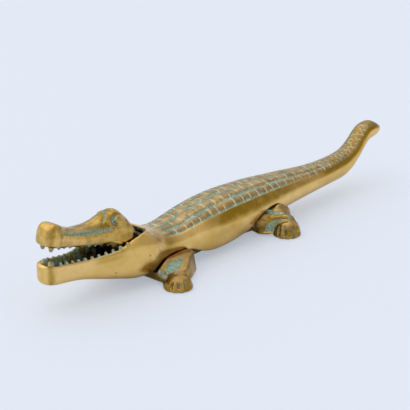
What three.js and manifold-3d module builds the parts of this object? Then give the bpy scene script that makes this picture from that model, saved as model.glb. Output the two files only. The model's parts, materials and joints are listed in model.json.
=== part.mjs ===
// A cast brass nutcracker in the shape of a crocodile, in millimetres, +Z up.
// X runs along the body from the nose (-X) to the tail (+X), Y across it, and the four soles stand on Z = 0.
// Two castings turn on one cross pin. The body casting is the lower jaw, the cheeks, the back and the tail,
// hollow from below. The leg casting is the upper jaw, a hub between the cheeks, a bar under the back and
// the four legs. Lifting the tail off the legs opens the mouth.

import * as THREE from "three";
import { mergeVertices } from "three/addons/utils/BufferGeometryUtils.js";
import Module from "manifold-3d";

const wasm = await Module();
wasm.setup();

// Lengths along the body.
const JAW_LENGTH = 51; // front of the lower jaw to the pin
const BACK_LENGTH = 90; // pin to the end of the hollow under the back
const TAIL_LENGTH = 68; // end of the hollow to the tip of the tail

// Widths of the body casting.
const SNOUT_WIDTH = 10.8;
const CHEEK_WIDTH = 25.8;
const NECK_WIDTH = 20.4;
const BODY_WIDTH = 25;
const TAIL_ROOT_WIDTH = 18.6;
const TAIL_WIDTH = 9.4;

// Heights of the body casting above the table.
const JAW_FRONT_LOW = 13.2;
const JAW_FRONT_RIM = 21;
const JAW_SAG_RIM = 18.8;
const CHEEK_LOW = 3;
const CHEEK_EDGE = 6.2;
const CHEEK_TOP = 21.8;
const NECK_TOP = 15.4;
const BACK_TOP = 22.3;
const BELLY_EDGE = 3.3;
const FRONT_ARCH = 9.6;
const HIND_ARCH = 11.8;
const TAIL_ROOT_TOP = 19.4;
const TAIL_ROOT_LOW = 5.6;
const TAIL_SAG_TOP = 16.7;
const TAIL_SAG_LOW = 6.8;
const TAIL_CREST_TOP = 27.5;
const TAIL_CREST_LOW = 20;
const TAIL_TIP_HEIGHT = 22.6;

// Walls of the body casting.
const JAW_WALL = 1.9;
const JAW_FLOOR = 2.4;
const CHEEK_WALL = 4.3;
const FLANK_WALL = 2.8;
const ROOF_WALL = 3;

// Pin, hub and socket.
const PIVOT_HEIGHT = 13.5;
const PIN_DIAMETER = 5;
const PIN_GAP = 0.1;
const HUB_RADIUS = 5.8;
const HUB_ROOM = 1; // clear of the hub all round, between the cheeks
const COLLAR_REACH = 8; // back edge of the opening behind the head, from the pin
const THROAT_RADIUS = 13.3; // rear end of the jaw floor, about the pin
const THROAT_GAP = 0.8;
const HUB_SIDE_GAP = 0.5;

// Upper jaw, measured from the pin with the jaw level, then tipped up by its gape.
const JAW_GAPE = 13.3;
const UPPER_JAW_LENGTH = 53;
const PALATE_HEIGHT = 4.5;
const NOSE_TOP = 13;
const SADDLE_TOP = 10.4;
const BROW_TOP = 16.6;
const NOSE_WIDTH = 10.4;
const SADDLE_WIDTH = 9.2;
const BROW_WIDTH = 15.4;
const EYE_PLACE = 0.72; // share of the upper jaw, from its tip
const EYE_SIZE = 4;
const PALATE_DEPTH = 2.2;
const PALATE_WALL = 2;

// Belly bar and legs.
const BAR_WIDTH = 14.6;
const BAR_TOP = 8.6;
const BAR_LOW = 2.2;
const CHEST_LOW = 4;
const CHEST_SLOPE = 0.4; // fall of the chest ahead of the pin
const HIP_LOW = 1.2;
const BAR_GAP = 0.7;
const LEG_GAP = 0.5;
const FRONT_LEG_STATION = 16.5; // shoulder behind the pin
const HIND_LEG_STATION = 71.5; // hip behind the pin
const FRONT_PAW_REACH = 21.8; // centre of the paw out from the middle
const HIND_PAW_REACH = 18;
const FRONT_PAW_LEAD = 13; // centre of the paw ahead of the shoulder
const HIND_PAW_LAG = 5; // centre of the paw behind the hip
const PAW_LENGTH = 12;
const PAW_WIDTH = 10.4;
const PAW_HEIGHT = 6.8;
const LEG_THICKNESS = 6.6;

// Teeth.
const TOOTH_WIDTH = 1.7;
const TOOTH_HEIGHT = 1.6;
const TOOTH_PITCH = 3.1;
const FANG_HEIGHT = 3;
const LOWER_TEETH = 10;
const UPPER_TEETH = 9;

const NOSE_X = -(JAW_LENGTH + BACK_LENGTH + TAIL_LENGTH) / 2;
const PIVOT_X = NOSE_X + JAW_LENGTH;
const ROOT_X = PIVOT_X + BACK_LENGTH;
const TIP_X = ROOT_X + TAIL_LENGTH;
const SHOULDER_X = PIVOT_X + FRONT_LEG_STATION;
const HIP_X = PIVOT_X + HIND_LEG_STATION;
const SOCKET_HALF = CHEEK_WIDTH / 2 - CHEEK_WALL;
const HUB_HALF = SOCKET_HALF - HUB_SIDE_GAP;
const AROUND = 32;

// Places as shares of the jaw, the back and the tail.
const onJaw = (share) => NOSE_X + JAW_LENGTH * share;
const onBack = (share) => PIVOT_X + BACK_LENGTH * share;
const onTail = (share) => ROOT_X + TAIL_LENGTH * share;
const mix = (a, b, share) => a + (b - a) * share;

// A smooth line through [station, value] points that doesn't overshoot them: a cubic between each pair,
// with the harmonic mean of the neighbouring slopes at each point.
function outline(points) {
  const slopes = points.map(() => 0);
  const rise = (i) => (points[i + 1][1] - points[i][1]) / (points[i + 1][0] - points[i][0]);
  for (let i = 1; i < points.length - 1; i += 1) {
    const before = rise(i - 1);
    const after = rise(i);
    slopes[i] = before * after > 0 ? (2 * before * after) / (before + after) : 0;
  }
  return (x) => {
    if (x <= points[0][0]) return points[0][1];
    if (x >= points[points.length - 1][0]) return points[points.length - 1][1];
    let i = 0;
    while (x > points[i + 1][0]) i += 1;
    const width = points[i + 1][0] - points[i][0];
    const t = (x - points[i][0]) / width;
    const start = points[i][1] * (1 + 2 * t) * (1 - t) ** 2 + slopes[i] * width * t * (1 - t) ** 2;
    const end = points[i + 1][1] * t * t * (3 - 2 * t) + slopes[i + 1] * width * t * t * (t - 1);
    return start + end;
  };
}

// The body's outlines: half width, top line, widest height, bottom line, and the lower edge of the flanks.
const bodyHalf = outline([
  [onJaw(0), SNOUT_WIDTH / 2],
  [onJaw(0.27), SNOUT_WIDTH / 2 + 0.3],
  [onJaw(0.6), mix(SNOUT_WIDTH, CHEEK_WIDTH, 0.47) / 2],
  [onJaw(0.84), mix(SNOUT_WIDTH, CHEEK_WIDTH, 0.95) / 2],
  [onJaw(0.97), CHEEK_WIDTH / 2],
  [onBack(0.14), NECK_WIDTH / 2],
  [onBack(0.28), mix(NECK_WIDTH, BODY_WIDTH, 0.4) / 2],
  [onBack(0.5), BODY_WIDTH / 2],
  [onBack(0.6), BODY_WIDTH / 2 - 0.1],
  [onTail(0), TAIL_ROOT_WIDTH / 2],
  [onTail(0.5), mix(TAIL_ROOT_WIDTH, TAIL_WIDTH, 0.7) / 2],
  [onTail(0.8), TAIL_WIDTH / 2],
  [onTail(1), TAIL_WIDTH / 2 - 0.6],
]);
const bodyTop = outline([
  [onJaw(0), JAW_FRONT_RIM],
  [onJaw(0.42), JAW_SAG_RIM],
  [onJaw(0.62), mix(JAW_SAG_RIM, CHEEK_TOP, 0.25)],
  [onJaw(0.82), mix(JAW_SAG_RIM, CHEEK_TOP, 0.93)],
  [onJaw(0.98), CHEEK_TOP],
  [onBack(0.06), CHEEK_TOP - 1.2],
  [onBack(0.145), NECK_TOP],
  [onBack(0.2), NECK_TOP + 1],
  [onBack(0.38), mix(NECK_TOP, BACK_TOP, 0.78)],
  [onBack(0.58), BACK_TOP],
  [onBack(0.78), mix(BACK_TOP, TAIL_ROOT_TOP, 0.25)],
  [onTail(0), TAIL_ROOT_TOP],
  [onTail(0.39), TAIL_SAG_TOP],
  [onTail(0.64), TAIL_SAG_TOP + 1.4],
  [onTail(0.74), mix(TAIL_SAG_TOP, TAIL_CREST_TOP, 0.45)],
  [onTail(0.84), TAIL_CREST_TOP],
  [onTail(1), mix(TAIL_CREST_TOP, TAIL_TIP_HEIGHT, 0.55)],
]);
const bodyLow = outline([
  [onJaw(0), JAW_FRONT_LOW],
  [onJaw(0.28), JAW_FRONT_LOW - 1.3],
  [onJaw(0.6), mix(JAW_FRONT_LOW, CHEEK_LOW, 0.54)],
  [onJaw(0.76), mix(JAW_FRONT_LOW, CHEEK_LOW, 0.72)],
  [onJaw(0.86), mix(JAW_FRONT_LOW, CHEEK_LOW, 0.9)],
  [onJaw(1), CHEEK_LOW],
  [onBack(0.17), FRONT_ARCH - 6.5],
  [onBack(0.42), BELLY_EDGE - 4.5],
  [onBack(0.78), HIND_ARCH - 9.4],
  [onTail(0), TAIL_ROOT_LOW],
  [onTail(0.3), TAIL_SAG_LOW - 0.4],
  [onTail(0.56), TAIL_SAG_LOW],
  [onTail(0.67), TAIL_SAG_LOW + 2],
  [onTail(0.76), mix(TAIL_SAG_LOW, TAIL_CREST_LOW, 0.58)],
  [onTail(0.86), TAIL_CREST_LOW - 1],
  [onTail(1), TAIL_CREST_LOW],
]);
const bodyWaist = outline([
  [onJaw(0), mix(JAW_FRONT_LOW, JAW_FRONT_RIM, 0.5)],
  [onJaw(0.6), mix(CHEEK_LOW, CHEEK_TOP, 0.5)],
  [onJaw(1), mix(CHEEK_LOW, CHEEK_TOP, 0.45)],
  [onBack(0.14), mix(FRONT_ARCH, NECK_TOP, 0.3)],
  [onBack(0.5), mix(BELLY_EDGE, BACK_TOP, 0.42)],
  [onTail(0), mix(TAIL_ROOT_LOW, TAIL_ROOT_TOP, 0.45)],
  [onTail(0.55), mix(TAIL_SAG_LOW, TAIL_SAG_TOP, 0.5)],
  [onTail(0.72), mix(TAIL_SAG_LOW, TAIL_CREST_TOP, 0.42)],
  [onTail(0.86), mix(TAIL_CREST_LOW, TAIL_CREST_TOP, 0.5)],
  [onTail(1), TAIL_TIP_HEIGHT],
]);
const flankEdge = outline([
  [onJaw(0.76), CHEEK_EDGE + 0.3],
  [onJaw(0.95), CHEEK_EDGE],
  [onBack(0.02), CHEEK_EDGE + 0.4],
  [onBack(0.105), FRONT_ARCH - 0.6],
  [onBack(0.17), FRONT_ARCH],
  [onBack(0.24), FRONT_ARCH - 1],
  [onBack(0.335), mix(FRONT_ARCH, BELLY_EDGE, 0.72)],
  [onBack(0.42), BELLY_EDGE],
  [onBack(0.55), BELLY_EDGE + 0.8],
  [onBack(0.62), BELLY_EDGE + 1.8],
  [onBack(0.7), mix(BELLY_EDGE, HIND_ARCH, 0.78)],
  [onBack(0.78), HIND_ARCH],
  [onBack(0.87), HIND_ARCH - 0.6],
  [onBack(0.93), HIND_ARCH - 2.2],
  [onTail(0), TAIL_ROOT_LOW + 2.2],
]);
// Squareness of the section: 2 is an ellipse, higher is squarer.
const upperPower = outline([
  [onJaw(0), 6],
  [onJaw(0.6), 5],
  [onJaw(1), 3.4],
  [onBack(0.2), 2.35],
  [onTail(0), 2.3],
  [onTail(0.6), 2.1],
]);
const lowerPower = outline([
  [onJaw(0), 4],
  [onJaw(1), 3],
  [onBack(0.2), 2.6],
  [onTail(0), 2.4],
  [onTail(0.6), 2.2],
]);

// A closed mesh from rings of points: the skin between neighbouring rings, and a fan on each end ring.
function ringMesh(rings) {
  const count = rings[0].length;
  const centres = [rings[0], rings[rings.length - 1]].map((ring) =>
    ring.reduce((sum, point) => sum.add(point), new THREE.Vector3()).divideScalar(count));
  const points = rings.flat().concat(centres);
  const triangles = [];
  for (let i = 0; i < rings.length - 1; i += 1) {
    for (let k = 0; k < count; k += 1) {
      const a = i * count + k;
      const b = i * count + ((k + 1) % count);
      triangles.push(a, b, b + count, a, b + count, a + count);
    }
  }
  const last = (rings.length - 1) * count;
  for (let k = 0; k < count; k += 1) {
    const next = (k + 1) % count;
    triangles.push(points.length - 2, next, k);
    triangles.push(points.length - 1, last + k, last + next);
  }
  const geometry = new THREE.BufferGeometry().setFromPoints(points);
  geometry.setIndex(triangles);
  return geometry;
}

// A section across X: half width out to the side, a top and a low height, and the squareness of each half.
function section(x, half, top, waist, low, upper, lower, count = AROUND) {
  return Array.from({ length: count }, (_, k) => {
    const turn = (2 * Math.PI * (k + 0.5)) / count;
    const c = Math.cos(turn);
    const s = Math.sin(turn);
    const power = s > 0 ? upper : lower;
    const height = s > 0 ? top - waist : waist - low;
    const y = half * Math.sign(c) * Math.abs(c) ** (2 / power);
    const z = waist + height * Math.sign(s) * Math.abs(s) ** (2 / power);
    return new THREE.Vector3(x, y, z);
  });
}

// Stations from one end to the other, with the last few drawn together so that a rounded end closes softly.
function stations(from, to, count) {
  return Array.from({ length: count }, (_, i) => mix(from, to, i / (count - 1)));
}

// How far a rounded end of the given length has opened at a distance from the tip: a quarter ellipse.
const endRound = (distance, length) =>
  distance >= length ? 1 : Math.sqrt(1 - (1 - Math.max(distance, 0) / length) ** 2);

// A solid from a three.js geometry, and the other way round.
function solid(geometry) {
  const bare = new THREE.BufferGeometry();
  bare.setAttribute("position", geometry.getAttribute("position"));
  bare.setIndex(geometry.index);
  const merged = mergeVertices(bare, 1e-4);
  const corners = merged.index.array;
  const kept = [];
  for (let i = 0; i < corners.length; i += 3) {
    const [a, b, c] = [corners[i], corners[i + 1], corners[i + 2]];
    if (a !== b && b !== c && c !== a) kept.push(a, b, c);
  }
  const whole = (triVerts) => new wasm.Manifold(new wasm.Mesh({
    numProp: 3,
    vertProperties: new Float32Array(merged.getAttribute("position").array),
    triVerts: new Uint32Array(triVerts),
  }));
  const made = whole(kept);
  return made.volume() > 0 ? made : whole(kept.slice().reverse());
}

function geometryOf(body) {
  const mesh = body.getMesh();
  const geometry = new THREE.BufferGeometry();
  geometry.setAttribute("position", new THREE.BufferAttribute(new Float32Array(mesh.vertProperties), 3));
  geometry.setIndex(new THREE.BufferAttribute(new Uint32Array(mesh.triVerts), 1));
  geometry.computeVertexNormals();
  return geometry;
}

// A block between two corners.
function block(low, high) {
  const geometry = new THREE.BoxGeometry(high[0] - low[0], high[1] - low[1], high[2] - low[2]);
  geometry.translate((low[0] + high[0]) / 2, (low[1] + high[1]) / 2, (low[2] + high[2]) / 2);
  return solid(geometry);
}

// An ellipsoid of the given half lengths, turned about Z.
function ellipsoid(centre, halves, turn = 0) {
  const geometry = new THREE.SphereGeometry(1, 16, 9);
  geometry.scale(halves[0], halves[2], halves[1]);
  geometry.rotateX(Math.PI / 2);
  geometry.rotateZ(turn);
  geometry.translate(...centre);
  return solid(geometry);
}

// A round bar across the body at the pin.
function crossCylinder(radius, halfLength, sides = 32) {
  const geometry = new THREE.CylinderGeometry(radius, radius, 2 * halfLength, sides);
  geometry.translate(PIVOT_X, 0, 0);
  return solid(geometry.translate(0, 0, PIVOT_HEIGHT));
}

// A barrel about the pin: radius times (1 - (y / half)^3.5)^(1/3.5), round at the rim and flat at the ends.
function crossBarrel(radius, half) {
  const profile = [];
  for (let i = 0; i <= 14; i += 1) {
    const y = -half * Math.cos((Math.PI * i) / 14);
    const share = Math.max(0, 1 - (Math.abs(y) / half) ** 3.5) ** (1 / 3.5);
    profile.push(new THREE.Vector2(i === 0 || i === 14 ? 0 : radius * share, y));
  }
  const geometry = new THREE.LatheGeometry(profile, 28);
  geometry.translate(PIVOT_X, 0, PIVOT_HEIGHT);
  return solid(geometry);
}

// A prism across the body from an outline in X and Z.
function sidePrism(points, halfLength) {
  const shape = new THREE.Shape(points.map((point) => new THREE.Vector2(...point)));
  const geometry = new THREE.ExtrudeGeometry(shape, { depth: 2 * halfLength, bevelEnabled: false });
  geometry.rotateX(Math.PI / 2);
  geometry.translate(0, halfLength, 0);
  return solid(geometry);
}

// A limb along points of [x, y, z, half breadth, half height], with elliptic sections square to the path in
// plan and a rounded far end.
function limb(points) {
  const curve = new THREE.CatmullRomCurve3(points.map((point) => new THREE.Vector3(...point)));
  const shares = points.map((_, i) => i / (points.length - 1));
  const breadth = outline(points.map((point, i) => [shares[i], point[3]]));
  const height = outline(points.map((point, i) => [shares[i], point[4]]));
  const rings = [];
  for (let i = 0; i <= 8; i += 1) {
    const share = i / 8;
    const centre = curve.getPoint(share);
    const along = curve.getTangent(share);
    const side = new THREE.Vector3(-along.y, along.x, 0).normalize();
    const up = new THREE.Vector3().crossVectors(along, side).normalize();
    rings.push(Array.from({ length: 14 }, (_, k) => {
      const turn = (2 * Math.PI * k) / 14;
      return centre.clone()
        .addScaledVector(side, breadth(share) * Math.cos(turn))
        .addScaledVector(up, height(share) * Math.sin(turn));
    }));
  }
  return solid(ringMesh(rings));
}

// A blunt tooth: a four-sided cone pointing along +Z or -Z from its root.
function tooth(x, y, z, width, height, down) {
  const geometry = new THREE.ConeGeometry(width / 2, height + 1, 6);
  geometry.rotateX(down ? -Math.PI / 2 : Math.PI / 2);
  geometry.translate(x, y, z + (down ? -1 : 1) * (height - 1) / 2);
  return solid(geometry);
}

// Join a list of solids, and mirror a solid to the other side.
const joined = (solids) => solids.reduce((sum, next) => sum.add(next));
const bothSides = (one) => one.add(solid(geometryOf(one).scale(1, -1, 1)));

// The outside of the body, grown by a clearance where it is used to cut a neighbour.
function bodyForm(grow) {
  const noseLength = 4.2;
  const tipLength = 7;
  const jaw = stations(NOSE_X, PIVOT_X, 16).slice(1);
  const back = stations(PIVOT_X, ROOT_X, 22).slice(1);
  const tail = stations(ROOT_X, TIP_X, 20).slice(1, -1);
  const nose = [0.02, 0.12, 0.3, 0.55].map((share) => NOSE_X + noseLength * share);
  const tip = [0.6, 0.32, 0.12, 0.02].map((share) => TIP_X - tipLength * share);
  const places = [...nose, ...jaw, ...back, ...tail, ...tip].sort((a, b) => a - b);
  return solid(ringMesh(places.map((x) => {
    const front = endRound(x - NOSE_X, noseLength);
    const rear = endRound(TIP_X - x, tipLength);
    const width = mix(front, 1, 0.12) * rear;
    const height = mix(front, 1, 0.45) * rear;
    const waist = bodyWaist(x);
    return section(
      x,
      bodyHalf(x) * width + grow,
      waist + (bodyTop(x) - waist) * height + grow,
      waist,
      waist - (waist - bodyLow(x)) * height - grow,
      upperPower(x),
      lowerPower(x),
    );
  })));
}

// Everything below the lower edge of the flanks, from the throat to the end of the hollow.
function belowFlanks(drop) {
  const edge = stations(onJaw(0.76), onTail(0), 46).map((x) => [x, flankEdge(x) - drop]);
  return sidePrism([[onJaw(0.76), -20], ...edge, [onTail(0), -20]], BODY_WIDTH);
}

// Body casting: the outside, less the mouth, the throat, the socket behind the head, the hollow under the
// back and the pin bore, with a row of teeth along each side of the mouth.
const floorAt = (x) => bodyLow(x) + JAW_FLOOR;
const rimHalf = (x) => bodyHalf(x) - JAW_WALL;
const troughEnd = PIVOT_X;
const trough = solid(ringMesh(stations(NOSE_X + JAW_WALL + 1.2, troughEnd, 14).map((x) => {
  const front = mix(endRound(x - NOSE_X - JAW_WALL, 4), 1, 0.15);
  const half = Math.min(rimHalf(x) * front, SOCKET_HALF);
  return section(x, half, CHEEK_TOP + 20, bodyTop(x), floorAt(x), 8, 3.4, 20);
})));
const hollowHalf = (x) => Math.min(bodyHalf(x) - FLANK_WALL, SOCKET_HALF);
const hollowTop = (x) => bodyTop(x) - ROOF_WALL;
const hollow = solid(ringMesh(stations(PIVOT_X, onTail(-0.02), 20).map((x) => {
  const rear = mix(endRound(onTail(0) - x, 8), 1, 0.1);
  const waist = Math.min(bodyWaist(x), hollowTop(x) - 1);
  const top = waist + (hollowTop(x) - waist) * rear;
  return section(x, hollowHalf(x) * mix(rear, 1, 0.5), top, waist, -20, 3, 9, 20);
})));
const behindPin = block([PIVOT_X, -40, -40], [TIP_X, 40, 60]);
const throat = crossCylinder(THROAT_RADIUS, SOCKET_HALF).subtract(behindPin);
const socket = crossCylinder(HUB_RADIUS + HUB_ROOM, SOCKET_HALF, 28);
const collar = new THREE.CylinderGeometry(1, 1, 2 * CHEEK_TOP, 32);
collar.rotateX(Math.PI / 2);
collar.scale(COLLAR_REACH, SOCKET_HALF, 1);
const collarOpening = solid(collar.translate(PIVOT_X, 0, PIVOT_HEIGHT + CHEEK_TOP));
const lowerTeeth = bothSides(joined([
  ...Array.from({ length: LOWER_TEETH }, (_, i) => {
    const x = onJaw(0.14) + TOOTH_PITCH * i;
    return tooth(x, bodyHalf(x) - JAW_WALL * 0.62, bodyTop(x) - 0.6, TOOTH_WIDTH, TOOTH_HEIGHT, false);
  }),
  tooth(onJaw(0.075), SNOUT_WIDTH * 0.2, JAW_FRONT_RIM - 1.4, TOOTH_WIDTH * 1.3, FANG_HEIGHT, false),
]));
const outside = bodyForm(0);
const bodyCasting = outside
  .subtract(belowFlanks(0))
  .subtract(trough)
  .subtract(throat)
  .subtract(socket)
  .subtract(collarOpening)
  .subtract(hollow)
  .add(lowerTeeth)
  .subtract(crossCylinder(PIN_DIAMETER / 2 + PIN_GAP, CHEEK_WIDTH, 24));

// Leg casting. The upper jaw is lofted level, in front of the pin, and tipped up by the gape.
const onHead = (share) => -UPPER_JAW_LENGTH * (1 - share);
const headHalf = outline([
  [onHead(0), NOSE_WIDTH / 2 - 0.4],
  [onHead(0.06), NOSE_WIDTH / 2],
  [onHead(0.2), SADDLE_WIDTH / 2],
  [onHead(0.32), SADDLE_WIDTH / 2 + 0.1],
  [onHead(0.58), mix(SADDLE_WIDTH, BROW_WIDTH, 0.6) / 2],
  [onHead(0.71), BROW_WIDTH / 2],
  [onHead(0.78), BROW_WIDTH / 2 - 0.6],
  [onHead(0.86), mix(HUB_RADIUS, BROW_WIDTH / 2, 0.2)],
  [onHead(0.93), HUB_RADIUS - 1],
  [onHead(1), HUB_RADIUS - 2],
]);
const headTop = outline([
  [onHead(0), NOSE_TOP - 0.4],
  [onHead(0.07), NOSE_TOP],
  [onHead(0.31), SADDLE_TOP],
  [onHead(0.43), SADDLE_TOP + 0.7],
  [onHead(0.54), mix(SADDLE_TOP, BROW_TOP, 0.4)],
  [onHead(0.64), mix(SADDLE_TOP, BROW_TOP, 0.84)],
  [onHead(0.71), BROW_TOP],
  [onHead(0.77), BROW_TOP - 0.9],
  [onHead(0.84), mix(HUB_RADIUS, BROW_TOP, 0.62)],
  [onHead(0.92), mix(HUB_RADIUS, BROW_TOP, 0.14)],
  [onHead(1), HUB_RADIUS - 1],
]);
const headLow = outline([
  [onHead(0), PALATE_HEIGHT],
  [onHead(0.82), PALATE_HEIGHT],
  [onHead(0.92), 0],
  [onHead(1), -HUB_RADIUS / 2],
]);
const snoutRound = 4.6;
const headPlaces = [
  ...[0.02, 0.12, 0.32, 0.6].map((share) => onHead(0) + snoutRound * share),
  ...stations(onHead(0) + snoutRound, onHead(1), 22),
];
const head = solid(ringMesh(headPlaces.map((x) => {
  const front = endRound(x - onHead(0), snoutRound);
  const waist = mix(headLow(x), headTop(x), 0.42);
  const top = waist + (headTop(x) - waist) * mix(front, 1, 0.3);
  const low = waist - (waist - headLow(x)) * mix(front, 1, 0.55);
  return section(x, headHalf(x) * mix(front, 1, 0.1), top, waist, low, 2.4, 4.5, 24);
})));
const palate = solid(ringMesh(stations(onHead(0.08), onHead(0.7), 8).map((x) =>
  section(x, headHalf(x) - PALATE_WALL, PALATE_HEIGHT + PALATE_DEPTH, PALATE_HEIGHT, -20, 3, 9, 16))));
const upperTeeth = bothSides(joined([
  ...Array.from({ length: UPPER_TEETH }, (_, i) => {
    const x = onHead(0.16) + TOOTH_PITCH * 1.15 * i;
    return tooth(x, headHalf(x) - PALATE_WALL * 0.62, PALATE_HEIGHT + 0.3, TOOTH_WIDTH, TOOTH_HEIGHT, true);
  }),
  tooth(onHead(0.075), NOSE_WIDTH * 0.24, PALATE_HEIGHT + 0.8, TOOTH_WIDTH * 1.3, FANG_HEIGHT, true),
]));
const eyeX = onHead(EYE_PLACE);
const eyes = bothSides(ellipsoid(
  [eyeX, headHalf(eyeX) - EYE_SIZE * 0.3, mix(PALATE_HEIGHT, headTop(eyeX), 0.62)],
  [EYE_SIZE / 2, EYE_SIZE * 0.4, EYE_SIZE * 0.4],
));
const levelJaw = geometryOf(head.subtract(palate).add(upperTeeth).add(eyes));
levelJaw.rotateY(THREE.MathUtils.degToRad(JAW_GAPE));
const upperJaw = solid(levelJaw.translate(PIVOT_X, 0, PIVOT_HEIGHT));

// The bar under the back, inside the hollow by a clearance, rounded in front about the pin.
const barHalf = (x) => (x < PIVOT_X ? HUB_HALF : Math.min(mix(HUB_HALF, BAR_WIDTH / 2,
  Math.min(1, (x - PIVOT_X) / FRONT_LEG_STATION)), hollowHalf(x) - BAR_GAP));
const barTop = (x) => (x < PIVOT_X ? PIVOT_HEIGHT - (PIVOT_X - x) * CHEST_SLOPE : Math.min(mix(PIVOT_HEIGHT, BAR_TOP,
  Math.min(1, (x - PIVOT_X) / FRONT_LEG_STATION)), hollowTop(x) - BAR_GAP));
const barLow = outline([
  [PIVOT_X, CHEST_LOW],
  [SHOULDER_X - 6, HIP_LOW],
  [SHOULDER_X, HIP_LOW],
  [mix(SHOULDER_X, HIP_X, 0.35), BAR_LOW],
  [mix(SHOULDER_X, HIP_X, 0.65), BAR_LOW],
  [HIP_X, HIP_LOW],
]);
const barEnd = onTail(-0.09);
const barFrontX = PIVOT_X - THROAT_RADIUS;
const bar = solid(ringMesh([...stations(barFrontX, PIVOT_X, 5), ...stations(PIVOT_X, barEnd, 18).slice(1)]
  .map((x) => {
    const rear = endRound(barEnd + 0.1 - x, 5);
    const waist = mix(barLow(x), barTop(x), 0.5);
    const half = barHalf(x) * mix(rear, 1, 0.4);
    const reach = (barTop(x) - waist) * mix(rear, 1, 0.4);
    return section(x, half, waist + reach, waist, waist - reach, 5, 5, 20);
  })));
const frontOfPin = block([NOSE_X - 20, -40, -40], [PIVOT_X, 40, 60]);
const chestRound = frontOfPin.subtract(crossCylinder(THROAT_RADIUS - THROAT_GAP, 60));

// Shoulders and hips widen the bar under the flanks; legs and paws are modelled on one side and mirrored.
const frontPaw = [SHOULDER_X - FRONT_PAW_LEAD, FRONT_PAW_REACH];
const hindPaw = [HIP_X + HIND_PAW_LAG, HIND_PAW_REACH];
const bodyEdge = BODY_WIDTH / 2;
const shoulder = ellipsoid([SHOULDER_X - 4, 0, HIP_LOW + 2.5], [11.5, bodyEdge + 0.6, 2.6]);
const hips = ellipsoid([HIP_X - 1, 0, HIP_LOW + 4], [14, bodyEdge, 4]);
const frontLeg = limb([
  [SHOULDER_X, 4, FRONT_ARCH - 4.8, 6, LEG_THICKNESS / 2],
  [SHOULDER_X, bodyEdge - 2, FRONT_ARCH - 4, 5.4, LEG_THICKNESS / 2],
  [mix(SHOULDER_X, frontPaw[0], 0.3), mix(bodyEdge, FRONT_PAW_REACH, 0.35), FRONT_ARCH - 3.6, 4.6, 3.4],
  [mix(SHOULDER_X, frontPaw[0], 0.7), mix(bodyEdge, FRONT_PAW_REACH, 0.75), FRONT_ARCH - 4.6, 4, 3.2],
  [frontPaw[0], frontPaw[1], PAW_HEIGHT * 0.45, 4, 2.6],
]);
const hindLeg = limb([
  [HIP_X, 3, HIND_ARCH - 6, 11, 5.6],
  [HIP_X + 0.6, bodyEdge - 3, HIND_ARCH - 5.4, 10.6, 5.6],
  [HIP_X + 1.4, bodyEdge + 1, HIND_ARCH - 5.8, 9, 5],
  [hindPaw[0] - 1, mix(bodyEdge, HIND_PAW_REACH, 0.8), PAW_HEIGHT * 0.6, 6, 3.8],
  [hindPaw[0], hindPaw[1] + 1, PAW_HEIGHT * 0.45, 4, 2.6],
]);
const knee = ellipsoid([HIP_X - 7, bodyEdge + 1, HIP_LOW + 4], [4.4, 3.2, 3.6], 0.3);
const pawHalves = [PAW_LENGTH / 2, PAW_WIDTH / 2, PAW_HEIGHT * 0.62];
const frontFoot = ellipsoid([...frontPaw, PAW_HEIGHT * 0.38], pawHalves, -0.72 + Math.PI / 2);
const hindFoot = ellipsoid([...hindPaw, PAW_HEIGHT * 0.38], pawHalves, 0.2 + Math.PI / 2);
const legs = joined([shoulder, hips, bothSides(joined([frontLeg, hindLeg, knee, frontFoot, hindFoot]))]);
const underTable = block([NOSE_X, -60, -30], [TIP_X, 60, 0]);
const flankRoom = bodyForm(LEG_GAP).subtract(belowFlanks(LEG_GAP));
const legCasting = legs
  .subtract(flankRoom)
  .add(bar.subtract(chestRound))
  .add(crossBarrel(HUB_RADIUS, HUB_HALF))
  .add(upperJaw)
  .subtract(underTable)
  .subtract(crossCylinder(PIN_DIAMETER / 2 + PIN_GAP, CHEEK_WIDTH, 24));

// Pin: cut to the outside of the cheeks.
const pin = crossCylinder(PIN_DIAMETER / 2, CHEEK_WIDTH, 24).intersect(outside);

const brass = (colour, roughness) =>
  new THREE.MeshStandardMaterial({ color: colour, metalness: 1, roughness });

function piece(name, body, material) {
  const mesh = new THREE.Mesh(geometryOf(body), material);
  mesh.name = name;
  return mesh;
}

const nutcracker = new THREE.Group();
nutcracker.add(piece("body_casting", bodyCasting, brass(0xa8833f, 0.34)));
nutcracker.add(piece("leg_casting", legCasting, brass(0xa07a3a, 0.38)));
nutcracker.add(piece("pivot_pin", pin, brass(0xb08d4a, 0.3)));

export default nutcracker;
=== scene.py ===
import json

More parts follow.
